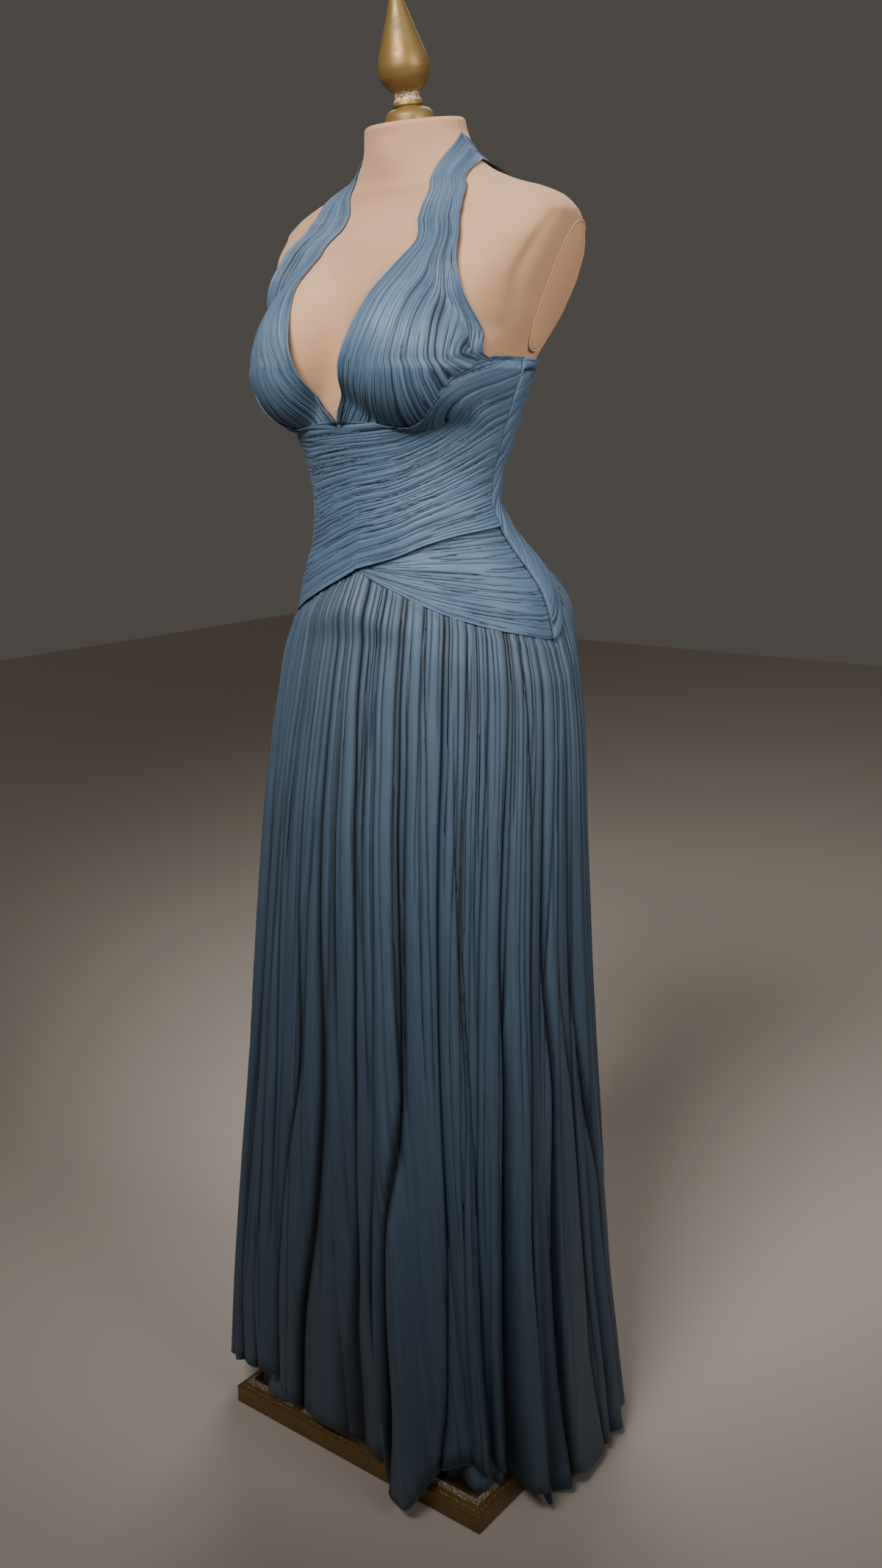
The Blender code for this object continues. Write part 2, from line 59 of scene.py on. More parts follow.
ZIP_HALF_ANGLE = 2.2

FORM_DEPTH = 0.0016         # the form's cover below the lines that the cloth follows
UNDER_LAYER = 0.0012
OVER_LAYER = 0.0044
CLOTH_WALL = 0.0011
CREASE_SHADE = 0.0016       # a bodice crease this deep has its full shade

# Sections of the dress form: height, half width, front depth, back depth, centre y, and the
# powers of its front and its back.
FORM_SECTIONS = (
    (1.603, 0.055, 0.055, 0.055, -0.018, 2.0, 2.0),
    (1.59, 0.057, 0.056, 0.055, -0.016, 2.0, 2.0),
    (1.575, 0.0635, 0.06, 0.056, -0.012, 1.8, 1.8),
    (1.562, 0.073, 0.064, 0.06, -0.008, 1.7, 1.7),
    (1.548, 0.09, 0.065, 0.064, -0.005, 1.7, 1.7),
    (1.537, 0.113, 0.0655, 0.067, -0.003, 1.8, 1.8),
    (1.531, 0.129, 0.066, 0.069, -0.003, 1.9, 1.9),
    (1.523, 0.156, 0.0665, 0.072, -0.002, 2.0, 2.0),
    (1.511, 0.18, 0.0695, 0.0765, -0.001, 2.2, 2.2),
    (1.493, 0.193, 0.08, 0.082, 0.0, 2.7, 2.4),
    (1.465, 0.199, 0.103, 0.087, 0.0, 3.5, 2.4),
    (1.435, 0.193, 0.123, 0.089, -0.004, 3.5, 2.4),
    (1.408, 0.181, 0.13, 0.09, -0.011, 3.2, 2.4),
    (1.372, 0.164, 0.128, 0.095, -0.022, 2.75, 2.3),
    (1.34, 0.149, 0.121, 0.102, -0.034, 2.3, 2.2),
    (1.29, 0.134, 0.112, 0.11, -0.045, 2.1, 2.1),
    (1.262, 0.126, 0.101, 0.103, -0.046, 2.0, 2.0),
    (1.227, 0.116, 0.092, 0.092, -0.046, 2.0, 2.0),
    (1.198, 0.113, 0.088, 0.088, -0.046, 2.0, 2.0),
    (1.169, 0.119, 0.094, 0.1, -0.039, 2.0, 2.0),
    (1.143, 0.13, 0.104, 0.115, -0.029, 2.0, 2.0),
    (1.118, 0.145, 0.117, 0.13, -0.02, 2.0, 2.0),
    (1.09, 0.159, 0.128, 0.137, -0.012, 2.0, 2.0),
    (1.05, 0.169, 0.141, 0.142, -0.008, 2.0, 2.0),
    (1.01, 0.173, 0.146, 0.144, -0.008, 2.0, 2.0),
    (0.96, 0.171, 0.144, 0.141, -0.008, 2.0, 2.0),
    (0.88, 0.158, 0.134, 0.128, -0.008, 2.0, 2.0),
)
# Mean line of the skirt's folds, in the same columns but with one power.
SKIRT_SECTIONS = (
    (1.05, 0.175, 0.15, 0.15, -0.008, 2.0),
    (0.99, 0.185, 0.162, 0.157, -0.01, 2.0),
    (0.92, 0.192, 0.17, 0.162, -0.014, 2.1),
    (0.83, 0.197, 0.176, 0.166, -0.021, 2.2),
    (0.69, 0.201, 0.18, 0.169, -0.027, 2.4),
    (0.55, 0.207, 0.181, 0.172, -0.031, 2.6),
    (0.4, 0.213, 0.181, 0.172, -0.033, 3.0),
    (0.24, 0.22, 0.179, 0.164, -0.034, 3.4),
    (0.12, 0.226, 0.176, 0.166, -0.032, 3.8),
    (0.0, 0.233, 0.174, 0.175, -0.03, 4.0),
)
# Edges of the gown's pieces: angle from the centre front, height.
BODICE_TOP = ((0, 1.288), (20, 1.284), (36, 1.281), (48, 1.287), (58, 1.302), (66, 1.318),
              (73, 1.337), (80, 1.35), (92, 1.35), (124, 1.341), (150, 1.326), (180, 1.318))
CROSSING = ((0, 1.124), (20, 1.137), (40, 1.153), (60, 1.162), (80, 1.166), (92, 1.168))
YOKE = ((0, 1.123), (18, 1.102), (32, 1.085), (45, 1.072), (60, 1.06), (75, 1.051),
        (92, 1.043), (105, 1.07), (124, 1.104), (150, 1.124), (180, 1.132))
HEM = ((-180, 0.04), (-120, 0.042), (-90, 0.046), (-60, 0.054), (-45, 0.062), (-34, 0.076),
       (-22, 0.074), (-13, 0.054), (-6, 0.043), (2, 0.04), (4.2, 0.034), (6, 0.017), (9, 0.012),
       (13, 0.016), (17, 0.028), (20, 0.044), (26, 0.06), (36, 0.064), (50, 0.054), (62, 0.044),
       (73, 0.036), (74.5, 0.012), (80, 0.008), (84, 0.01), (85.5, 0.026), (90, 0.014),
       (101, 0.011), (103, 0.014), (104.5, 0.028), (120, 0.034), (150, 0.038), (180, 0.04))
# The largest folds at the hem: angle, half width in degrees, rise.
FOLDS = ((-45, 24, 0.024), (12, 9, 0.034), (36, 12, -0.012), (57, 11, -0.026), (72, 7, 0.028),
         (89, 8, 0.026), (104, 8, 0.012), (150, 14, 0.01), (-80, 10, 0.01),
         (-110, 12, 0.014), (-150, 14, 0.01))
# The halter panel.  Its front half runs from the bodice's edge to the shoulder ridge.
HALTER_RIDGE = 0.66                 # the share of the rows that lies in front of the ridge
NECKLINE_HEIGHTS = (1.288, 1.585)   # the V's point, and the inner edge on the ridge
NECKLINE_ANGLE = 9.3                # of the inner edge once the V has opened
NECKLINE_OPEN = 0.25                # the share of the way up at which it has
ARMHOLE_HEIGHTS = (1.349, 1.555)    # the outer edge, at the underarm and on the ridge
ARMHOLE_ANGLES = (80.0, 28.0)       # the outer edge, at the underarm and on the strap
ARMHOLE_FOOT = 0.12                 # the share of the way up before the armhole climbs
STRAP_TURN = 0.667                  # where both edges start to turn over the shoulder
# Behind the ridge: row, inner angle, inner height, outer angle, outer height.
HALTER_BEHIND = (
    (0.66, 90.0, 1.585, 90.0, 1.555),
    (0.7, 117.0, 1.573, 111.0, 1.545),
    (0.75, 139.0, 1.55, 136.0, 1.529),
    (0.81, 165.0, 1.508, 155.0, 1.497),
    (0.9, 172.5, 1.42, 162.5, 1.415),
    (1.0, 176.5, 1.322, 164.0, 1.326),
)
# How far the edges stand off the form's front, over the padding: size, row, half width.
NECKLINE_STAND = (0.018, 0.09, 0.17)
ARMHOLE_STAND = (0.008, 0.36, 0.3)

# The shallow groove in front of the arm: height, angle.
ARM_GROOVE = ((1.35, 82.0), (1.397, 79.0), (1.435, 75.0), (1.498, 80.0), (1.54, 84.0))
# The wrap's pleats end on this line, above its edge at the underarm: angle, height.
PLEAT_TOP = ((-92, 1.316), (-60, 1.298), (-30, 1.287), (0, 1.288), (25, 1.291), (45, 1.307),
             (65, 1.34), (80, 1.368), (92, 1.386))

BUST_CENTRE = (0.072, -0.112, 1.35)
BUST_RADIUS = 0.076
BUST_RISE = 0.105
BUST_WIDTH = 0.075
BUST_BLEND = 0.012
ARM_PLATE_TOP = (1.5, 0.19)       # height, distance of the flat side of the shoulder
ARM_PLATE_BOTTOM = (1.345, 0.1455)

# Turned finial: distance from the axis, height.
FINIAL_PROFILE = (
    (0.0001, 0.142), (0.003, 0.1395), (0.0062, 0.126), (0.011, 0.11),
    (0.017, 0.092), (0.023, 0.075), (0.0272, 0.062), (0.0283, 0.054),
    (0.0268, 0.045), (0.0215, 0.0365), (0.0168, 0.0315), (0.0146, 0.029),
    (0.0136, 0.0245), (0.0156, 0.0205), (0.0164, 0.0175), (0.0148, 0.015),
    (0.0215, 0.0125), (0.0262, 0.007), (0.0275, 0.0), (0.0001, 0.0),
)
FINIAL_PLACE = (0.0, -0.027)
FINIAL_TILT = math.radians(9.5)

# ---------------------------------------------------------------- colours
CREPE = (0.076, 0.132, 0.212)
CREPE_LIGHT = (0.114, 0.186, 0.28)
# CREPE_DEEP is the dark tone of the crinkle lines, and the painted shade in creases.
CREPE_DEEP = (0.012, 0.02, 0.032)
SATIN = (0.06, 0.098, 0.15)
JERSEY = (0.55, 0.31, 0.175)
GOLD = (0.215, 0.125, 0.03)
PATINA = (0.12, 0.105, 0.045)
CHIP = (0.56, 0.43, 0.34)
PANEL_BROWN = (0.045, 0.028, 0.014)
FLOOR = (0.76, 0.66, 0.58)


# ---------------------------------------------------------------- numbers
def smooth_table(table, at):
    """Values of a table's columns at the given places, on a smooth curve with no overshoot.

    Each span is a cubic Hermite curve; a row's slope is the harmonic mean of the slopes on
    both sides of it, or zero where they disagree.
    """
    rows = np.array(table, dtype=float)
    rows = rows[np.argsort(rows[:, 0])]
    places, values = rows[:, 0], rows[:, 1:]
    step = np.diff(places)[:, None]
    slope = np.diff(values, axis=0) / step
    tangent = np.zeros_like(values)
    same_way = slope[:-1] * slope[1:] > 0
    mean = 2 * slope[:-1] * slope[1:] / np.where(same_way, slope[:-1] + slope[1:], 1.0)
    tangent[1:-1] = np.where(same_way, mean, 0.0)
    tangent[0], tangent[-1] = slope[0], slope[-1]
    at = np.clip(np.asarray(at, dtype=float), places[0], places[-1])
    i = np.clip(np.searchsorted(places, at, side="right") - 1, 0, len(places) - 2)
    h = step[i]
    t = ((at - places[i]) / h[..., 0])[..., None]
    value = ((2 * t**3 - 3 * t**2 + 1) * values[i] + (t**3 - 2 * t**2 + t) * h * tangent[i]
             + (3 * t**2 - 2 * t**3) * values[i + 1] + (t**3 - t**2) * h * tangent[i + 1])
    return np.moveaxis(value, -1, 0)


def edge_height(table, angle, mirrored=True):
    return smooth_table(table, np.abs(angle) if mirrored else angle)[0]


def smooth_step(x):
    """x * x * (3 - 2 x), with x held between 0 and 1."""
    x = np.clip(x, 0.0, 1.0)
    return x * x * (3 - 2 * x)


def bump_at(x, middle, half_width):
    """1 at the middle, easing to 0 at half_width on both sides."""
    return smooth_step(1 - np.abs(x - middle) / half_width)


# ---------------------------------------------------------------- the body's surface
def bust_lift(x, y, z):
    """How far the bust pushes the front of the body forward at a point of its section.

    The bust is a dome: radius * (1 - d * d) ** fullness, with d the distance from its centre
    over its reach; a smooth minimum blends it into the chest.
    """
    centre_x, centre_y, centre_z = BUST_CENTRE
    reach = np.where(z > centre_z, BUST_RISE, BUST_RADIUS)
    d = np.hypot((np.abs(x) - centre_x) / BUST_WIDTH, (z - centre_z) / reach)
    fullness = 0.5 + 0.45 * smooth_step((z - centre_z) / BUST_RISE)
    dome = centre_y - BUST_RADIUS * np.clip(1 - d * d, 0, 1) ** fullness
    dome = dome + 0.2 * np.clip(d - 1, 0, 9)
    mix = np.clip(0.5 + 0.5 * (y - dome) / BUST_BLEND, 0, 1)
    front = y * (1 - mix) + dome * mix - BUST_BLEND * mix * (1 - mix)
    return np.maximum(y - front, 0.0)


def ring_points(table, angle, height):
    """Superellipse sections: |x / w| ** p + |y / d| ** p = 1, with d unlike front and back."""
    half_width, front, back, centre_y, power, *power_behind = smooth_table(table, height)
    sine, cosine = np.sin(np.radians(angle)), np.cos(np.radians(angle))
    power = np.where(cosine > 0, power, power_behind[0] if power_behind else power)
    x = half_width * np.sign(sine) * np.abs(sine) ** (2 / power)
    depth = np.where(cosine > 0, front, back)
    y = centre_y - depth * np.sign(cosine) * np.abs(cosine) ** (2 / power)
    return x, y, cosine


def arm_plate_distance(z):
    (top_z, top_x), (low_z, low_x) = ARM_PLATE_TOP, ARM_PLATE_BOTTOM
    return low_x + (z - low_z) * (top_x - low_x) / (top_z - low_z)


def form_points(angle, height):
    """Points of the dress form at angles round it and heights; its shoulders end flat."""
    angle, height = np.broadcast_arrays(np.asarray(angle, float), np.asarray(height, float))
    x, y, cosine = ring_points(FORM_SECTIONS, angle, height)
    y = y - bust_lift(x, y, height) * smooth_step(cosine / 0.42)
    flat = arm_plate_distance(height) + 0.6 * np.maximum(ARM_PLATE_BOTTOM[0] - height, 0.0)
    widest = np.broadcast_to(smooth_table(FORM_SECTIONS, height)[0], x.shape)
    x = np.where(cosine > 0, x * np.minimum(flat / widest, 1.0), np.clip(x, -flat, flat))
    return np.stack([x, y, height], axis=-1)


def normals(points):
    """Unit normals of a grid: the across step crossed with the up step."""
    normal = np.cross(np.gradient(points, axis=1), np.gradient(points, axis=0))
    return normal / np.maximum(np.linalg.norm(normal, axis=-1, keepdims=True), 1e-12)


def unit_steps(points, axis):
    step = np.gradient(points, axis=axis)
    return step / np.maximum(np.linalg.norm(step, axis=-1, keepdims=True), 1e-12)


def lifted(points, height):
    return points + normals(points) * np.asarray(height)[..., None]


def lengths(points, axis):
    """Distance along a grid's rows or columns from their start."""
    step = np.linalg.norm(np.diff(points, axis=axis), axis=-1)
    start = np.zeros_like(np.take(step, [0], axis=axis))
    return np.cumsum(np.concatenate([start, step], axis=axis), axis=axis)


# ---------------------------------------------------------------- creases
def creases(count, seed, place=(0.0, 1.0), first=(0.0, 0.0), last=(1.0, 1.0),
            width=(0.001, 0.002), widen=1.0, depth=(0.001, 0.002), deepen=1.0,
            wander=0.3, fade=0.25, tilt=0.0):
    """A set of creases with their places, ends, widths and depths drawn from the ranges."""
    draw = np.random.default_rng(seed)
    spread = (np.arange(count) + 0.5 + draw.uniform(-0.42, 0.42, count)) / count
    return {
        "place": place[0] + (place[1] - place[0]) * spread,
        "first": draw.uniform(*first, count), "last": draw.uniform(*last, count),
        "width": draw.uniform(*width, count), "widen": np.full(count, widen),
        "depth": draw.uniform(*depth, count), "deepen": np.full(count, deepen),
        "wander": draw.uniform(-wander, wander, count) * (place[1] - place[0]) / count,
        "tilt": draw.uniform(-tilt, tilt, count),
        "waves": draw.uniform(0.3, 1.6, count), "phase": draw.uniform(0, 6.28, count),
        "fade": np.full(count, fade),
    }


def crease_field(across, along, metres, sets, period=None, lean=0.0):
    """Depth and sideways draw of sets of creases on a grid of cloth.

    across is a point's place across the creases, along its share along them, and metres the
    cloth's width for one unit of across there.  A crease's depth falls off with the distance
    d across it as exp(-|d| / width), wider by lean on one side, and it draws in the cloth
    beside it by d * exp(-(d / 1.7 width) ** 2).  Only the deepest crease counts at a point.
    """
    shape = np.broadcast(across, along).shape
    depth, draw = np.zeros(shape), np.zeros(shape)
    for group in sets:
        for k in range(len(group["place"])):
            item = {key: value[k] for key, value in group.items()}
            line = item["place"] + item["wander"] * np.sin(6.28 * item["waves"] * along
                                                           + item["phase"])
            if "path" in item:
                line = smooth_table(np.column_stack([PATH_SHARES, item["path"]]), along)[0]
            d = across - line
            if period:
                d = (d + period / 2) % period - period / 2
            d = d * metres
            width = item["width"] * (1 + (item["widen"] - 1) * along)
            size = item["depth"] * (1 + (item["deepen"] - 1) * along)
            size = size * smooth_step((along - item["first"]) / item["fade"] + 1)
            size = size * smooth_step((item["last"] - along) / item["fade"] + 1)
            one_side = lean + item["tilt"]
            here = size * np.exp(-np.abs(d) / (width * np.where(d > 0, 1 + one_side, 1 - one_side)))
            deeper = here > depth
            depth = np.where(deeper, here, depth)
            share = np.clip(size / (2.5 * width), 0, 0.6)
            draw = np.where(deeper, -d * share * np.exp(-(d / (1.7 * width)) ** 2), draw)
    return depth, draw


# ---------------------------------------------------------------- meshes
def surface(name, points, finish, uv=None, shade=None, wrap=False):
    """A smooth mesh of quads on a grid of points, with its own UV map and a crease value at each point:
    painted shade on the cloth, dark seam lines on the jersey, wear on the gilding.
    """
    rows, columns = points.shape[:2]
    index = np.arange(rows * columns).reshape(rows, columns)
    corner = np.arange(rows * (columns + wrap)).reshape(rows, columns + wrap)
    if wrap:
        index = np.concatenate([index, index[:, :1]], axis=1)
    quads, corners = (np.stack([a[:-1, :-1], a[:-1, 1:], a[1:, 1:], a[1:, :-1]], axis=-1)
                      .reshape(-1, 4) for a in (index, corner))
    mesh = bpy.data.meshes.new(name)
    mesh.from_pydata(points.reshape(-1, 3), [], quads)
    mesh.polygons.foreach_set("use_smooth", np.ones(len(quads), dtype=bool))
    if uv is not None:
        layer = mesh.uv_layers.new(name="cloth")
        layer.data.foreach_set("uv", uv.reshape(-1, 2)[corners.ravel()].astype(np.float32).ravel())
    shade = np.zeros(rows * columns) if shade is None else np.clip(shade, 0, 1).ravel()
    mesh.attributes.new("crease", "FLOAT", "POINT").data.foreach_set(
        "value", shade.astype(np.float32))
    mesh.materials.append(finish)
    mesh.update()
    piece = bpy.data.objects.new(name, mesh)
    bpy.context.scene.collection.objects.link(piece)
    return piece


def walled(piece, wall=CLOTH_WALL, outwards=1.0):
    thicken = piece.modifiers.new("wall", "SOLIDIFY")
    thicken.thickness = wall
    thicken.offset = outwards
    return piece


def tube(name, path, radius, finish, sides=8):
    """A round cord along a path: circles in the plane across the path's direction."""
    path = np.asarray(path, dtype=float)
    ahead = np.gradient(path, axis=0)
    ahead /= np.linalg.norm(ahead, axis=1, keepdims=True)
    side = np.cross(ahead, (0.0, 0.0, 1.0)) + 1e-9
    side /= np.linalg.norm(side, axis=1, keepdims=True)
    up = np.cross(side, ahead)
    turn = np.linspace(0, 2 * math.pi, sides, endpoint=False)
    radius = np.broadcast_to(np.asarray(radius, float), len(path))[:, None, None]
    ring = side[:, None] * np.cos(turn)[None, :, None] + up[:, None] * np.sin(turn)[None, :, None]
    points = path[:, None] + ring * radius
    run = lengths(path[:, None], 0)
    around = np.linspace(0, 1, sides + 1)[None, :] * radius[:, :, 0] * 6.28
    uv = np.stack([around + 0 * run, run + 0 * around], axis=-1)
    piece = surface(name, points, finish, uv=uv, wrap=True)
    fill_ends(piece)
    return piece


def fill_ends(piece):
    shape = bmesh.new()
    shape.from_mesh(piece.data)
    bmesh.ops.remove_doubles(shape, verts=shape.verts, dist=1e-6)
    bmesh.ops.holes_fill(shape, edges=[e for e in shape.edges if e.is_boundary])
    bmesh.ops.recalc_face_normals(shape, faces=shape.faces)
    shape.to_mesh(piece.data)
    shape.free()


# ---------------------------------------------------------------- finishes
def new_finish(name, colour, roughness, metallic=0.0, specular=0.5, sheen=0.0, sheen_look=None):
    """A material, and the node tree that its tones and bumps are built in."""
    made = bpy.data.materials.new(name)
    made.use_nodes = True
    values = {"Base Color": (*colour, 1.0), "Roughness": roughness, "Metallic": metallic,
              "Specular IOR Level": specular, "Sheen Weight": sheen}
    if sheen_look:
        values["Sheen Roughness"], values["Sheen Tint"] = sheen_look
    for socket, value in values.items():
        made.node_tree.nodes["Principled BSDF"].inputs[socket].default_value = value
    return made, made.node_tree


def node(tree, kind, **inputs):
    made = tree.nodes.new(kind)
    for name, value in inputs.items():
        made.inputs[name.replace("_", " ")].default_value = value
    return made


def source(tree, kind, output, **settings):
    made = tree.nodes.new(kind)
    for key, value in settings.items():
        setattr(made, key, value)
    return made.outputs[output]


def cloth_uv(tree):
    return source(tree, "ShaderNodeUVMap", "UV", uv_map="cloth")


def object_place(tree):
    return source(tree, "ShaderNodeTexCoord", "Object")


def crease_shade(tree):
    return source(tree, "ShaderNodeAttribute", "Fac", attribute_name="crease")


def scaled_noise(tree, place, scale, detail=3.0, roughness=0.55):
    """Noise on coordinates stretched by scale, so that its grain runs one way."""
    mapping = node(tree, "ShaderNodeMapping", Scale=scale)
    noise = node(tree, "ShaderNodeTexNoise", Scale=1.0, Detail=detail, Roughness=roughness)
    tree.links.new(place, mapping.inputs["Vector"])
    tree.links.new(mapping.outputs["Vector"], noise.inputs["Vector"])
    return noise.outputs["Fac"]


def tinted(colour, *shares):
    return tuple(c * share for c, share in zip(colour, shares))


def spread(tree, value, low, high, to_low=0.0, to_high=1.0):
    made = node(tree, "ShaderNodeMapRange", From_Min=low, From_Max=high,
                To_Min=to_low, To_Max=to_high)
    tree.links.new(value, made.inputs["Value"])
    return made.outputs["Result"]


def blended(tree, share, first, second):
    """A colour between two, each a colour or a socket."""
    made = tree.nodes.new("ShaderNodeMix")
    made.data_type = "RGBA"
    tree.links.new(share, made.inputs["Factor"])
    for socket, value in ((made.inputs[6], first), (made.inputs[7], second)):
        if isinstance(value, tuple):
            socket.default_value = (*value, 1.0)
        else:
            tree.links.new(value, socket)
    return made.outputs[2]


def finished(made, bumps, **sockets):
    """Links the shader's sockets and stacks bumps, each a height, a distance and a strength."""
    tree = made.node_tree
    shader = tree.nodes["Principled BSDF"]
    last = None
    for height, distance, strength in bumps:
        bump = node(tree, "ShaderNodeBump", Distance=distance, Strength=strength)
        tree.links.new(height, bump.inputs["Height"])
        if last:
            tree.links.new(last.outputs["Normal"], bump.inputs["Normal"])
        last = bump
    for name, value in dict(sockets, Normal=last.outputs["Normal"]).items():
        tree.links.new(value, shader.inputs[name.replace("_", " ")])
    return made


def crepe_finish(name, tones, roughness=0.5, crinkle=1.0, dark_from=0.1):
    """Crinkled crepe: fine lines along the pleats in height and tone, with painted shade in the
    creases.
    """
    colour, light, deep = tones
    made, tree = new_finish(name, colour, roughness, sheen=0.06,
                            sheen_look=(0.35, (0.55, 0.7, 0.9, 1.0)))
    uv = cloth_uv(tree)
    fine = scaled_noise(tree, uv, (1100.0, 28.0, 1.0), 2.0)
    streak = scaled_noise(tree, uv, (330.0, 9.0, 1.0))
    broad = scaled_noise(tree, uv, (26.0, 7.0, 1.0), 2.0)
    tone = blended(tree, spread(tree, streak, 0.36, 0.68, 0.0, 0.8 * crinkle), colour, light)
    tone = blended(tree, spread(tree, broad, 0.4, 0.75, 0.0, 0.35), tone, light)
    tone = blended(tree, spread(tree, fine, 0.3, 0.52, 0.32 * crinkle, 0.0), tone, deep)
    # Painted shade: the tone goes towards the deep one where the crease value marks a deep crease or
    # groove.
    tone = blended(tree, spread(tree, crease_shade(tree), dark_from, 1.0, 0.0, 0.95), tone, deep)
    return finished(made, ((streak, 0.0016, 0.45 * crinkle), (fine, 0.0006, 0.55 * crinkle)),
                    Base_Color=tone,
                    Roughness=spread(tree, streak, 0.3, 0.7, roughness - 0.06, roughness + 0.1))


def satin_finish():
    made, tree = new_finish("lining_satin", SATIN, 0.3, sheen=0.1)
    uv = cloth_uv(tree)
    weave = scaled_noise(tree, uv, (900.0, 900.0, 1.0), 1.0)
    broad = scaled_noise(tree, uv, (30.0, 12.0, 1.0))
    tone = blended(tree, spread(tree, broad, 0.35, 0.7), SATIN, (0.095, 0.15, 0.22))
    return finished(made, ((broad, 0.003, 0.4), (weave, 0.0002, 0.3)), Base_Color=tone)


def jersey_finish(name, colour):
    """Fine stretch jersey: ribs a millimetre apart, with a soft mottle."""
    made, tree = new_finish(name, colour, 0.82, specular=0.2, sheen=0.2,
                            sheen_look=(0.5, (1.0, 0.86, 0.74, 1.0)))
    place = object_place(tree)
    ribs = scaled_noise(tree, place, (1500.0, 1500.0, 420.0), 1.0)
    grain = scaled_noise(tree, place, (520.0, 520.0, 520.0), 2.0)
    mottle = scaled_noise(tree, place, (14.0, 14.0, 9.0))
    darker, seam = tinted(colour, 0.88, 0.82, 0.76), tinted(colour, 0.62, 0.5, 0.42)
    tone = blended(tree, spread(tree, mottle, 0.35, 0.7, 0.0, 0.45), colour, darker)
    tone = blended(tree, spread(tree, grain, 0.3, 0.7, 0.16, 0.0), tone, darker)
    tone = blended(tree, spread(tree, crease_shade(tree), 0.0, 1.0, 0.0, 0.7), tone, seam)
    return finished(made, ((grain, 0.0004, 0.25), (ribs, 0.0003, 0.35)), Base_Color=tone)


def gilding_finish():
    """Old gold paint: brushed tone, olive patina in patches, pale chips where it is worn."""
    made, tree = new_finish("old_gilding", GOLD, 0.42, metallic=0.35)
    place = object_place(tree)
    patches = scaled_noise(tree, place, (38.0, 38.0, 60.0), 5.0)
    brush = scaled_noise(tree, place, (90.0, 90.0, 700.0))
    grit = scaled_noise(tree, place, (420.0, 420.0, 420.0), 4.0, 0.7)
    tone = blended(tree, spread(tree, patches, 0.44, 0.7, 0.0, 0.45), GOLD, PATINA)
    tone = blended(tree, spread(tree, brush, 0.45, 0.75, 0.0, 0.22), tone,
                   tinted(GOLD, 1.35, 1.35, 1.35))
    both = tree.nodes.new("ShaderNodeMath")
    both.operation = "ADD"
    tree.links.new(spread(tree, crease_shade(tree), 0.0, 1.0, 0.0, 0.34), both.inputs[0])
    tree.links.new(grit, both.inputs[1])
    chips = spread(tree, both.outputs[0], 0.78, 0.82)
    return finished(made, ((brush, 0.0003, 0.15), (grit, 0.0006, 0.3)),
                    Base_Color=blended(tree, chips, tone, CHIP),
                    Metallic=spread(tree, chips, 0.0, 1.0, 0.35, 0.0),
                    Roughness=spread(tree, patches, 0.3, 0.7, 0.34, 0.56))


def panel_finish():
    """The base's top: dark brown bole with a dull shine and rubbed spots."""
    made, tree = new_finish("base_top_brown", PANEL_BROWN, 0.5)
    place = object_place(tree)
    rub = scaled_noise(tree, place, (22.0, 22.0, 22.0), 5.0)
    grit = scaled_noise(tree, place, (260.0, 260.0, 260.0), 5.0, 0.7)
    tone = blended(tree, spread(tree, rub, 0.4, 0.7, 0.0, 0.8), PANEL_BROWN, (0.09, 0.062, 0.026))
    return finished(made, ((rub, 0.001, 0.2), (grit, 0.0004, 0.3)),
                    Base_Color=blended(tree, spread(tree, grit, 0.71, 0.73), tone, CHIP),
                    Roughness=spread(tree, rub, 0.3, 0.7, 0.35, 0.6))


def steel_finish():
    made, tree = new_finish("pole_steel", (0.33, 0.32, 0.3), 0.38, metallic=0.9)
    brush = scaled_noise(tree, object_place(tree), (60.0, 60.0, 900.0))
    return finished(made, ((brush, 0.0002, 0.2),), Roughness=spread(tree, brush, 0.3, 0.7, 0.3, 0.5))


crepe_tones = (CREPE, CREPE_LIGHT, CREPE_DEEP)
crepe = crepe_finish("gown_crepe", crepe_tones)
# The skirt's crepe is a darker, greyer copy of the bodice's crepe: painted shade for the dimmer light
# low on the gown and in its gathers. The side seam cords and the rolled hems use it too.
skirt_crepe_painted_shade = crepe_finish("skirt_crepe_painted_shade", [tinted(tone, 0.72, 0.68, 0.65) for tone in crepe_tones],
                           0.55, 0.5, 0.34)
satin = satin_finish()
jersey = jersey_finish("form_jersey", JERSEY)
plate_jersey = jersey_finish("plate_jersey", tinted(JERSEY, 1.1, 1.02, 0.98))
gilding = gilding_finish()
panel_brown = panel_finish()
steel = steel_finish()


def finish_piece(piece, slot, *nodes):
    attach(piece, "root")
    if nodes:
        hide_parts(*nodes)
    return piece


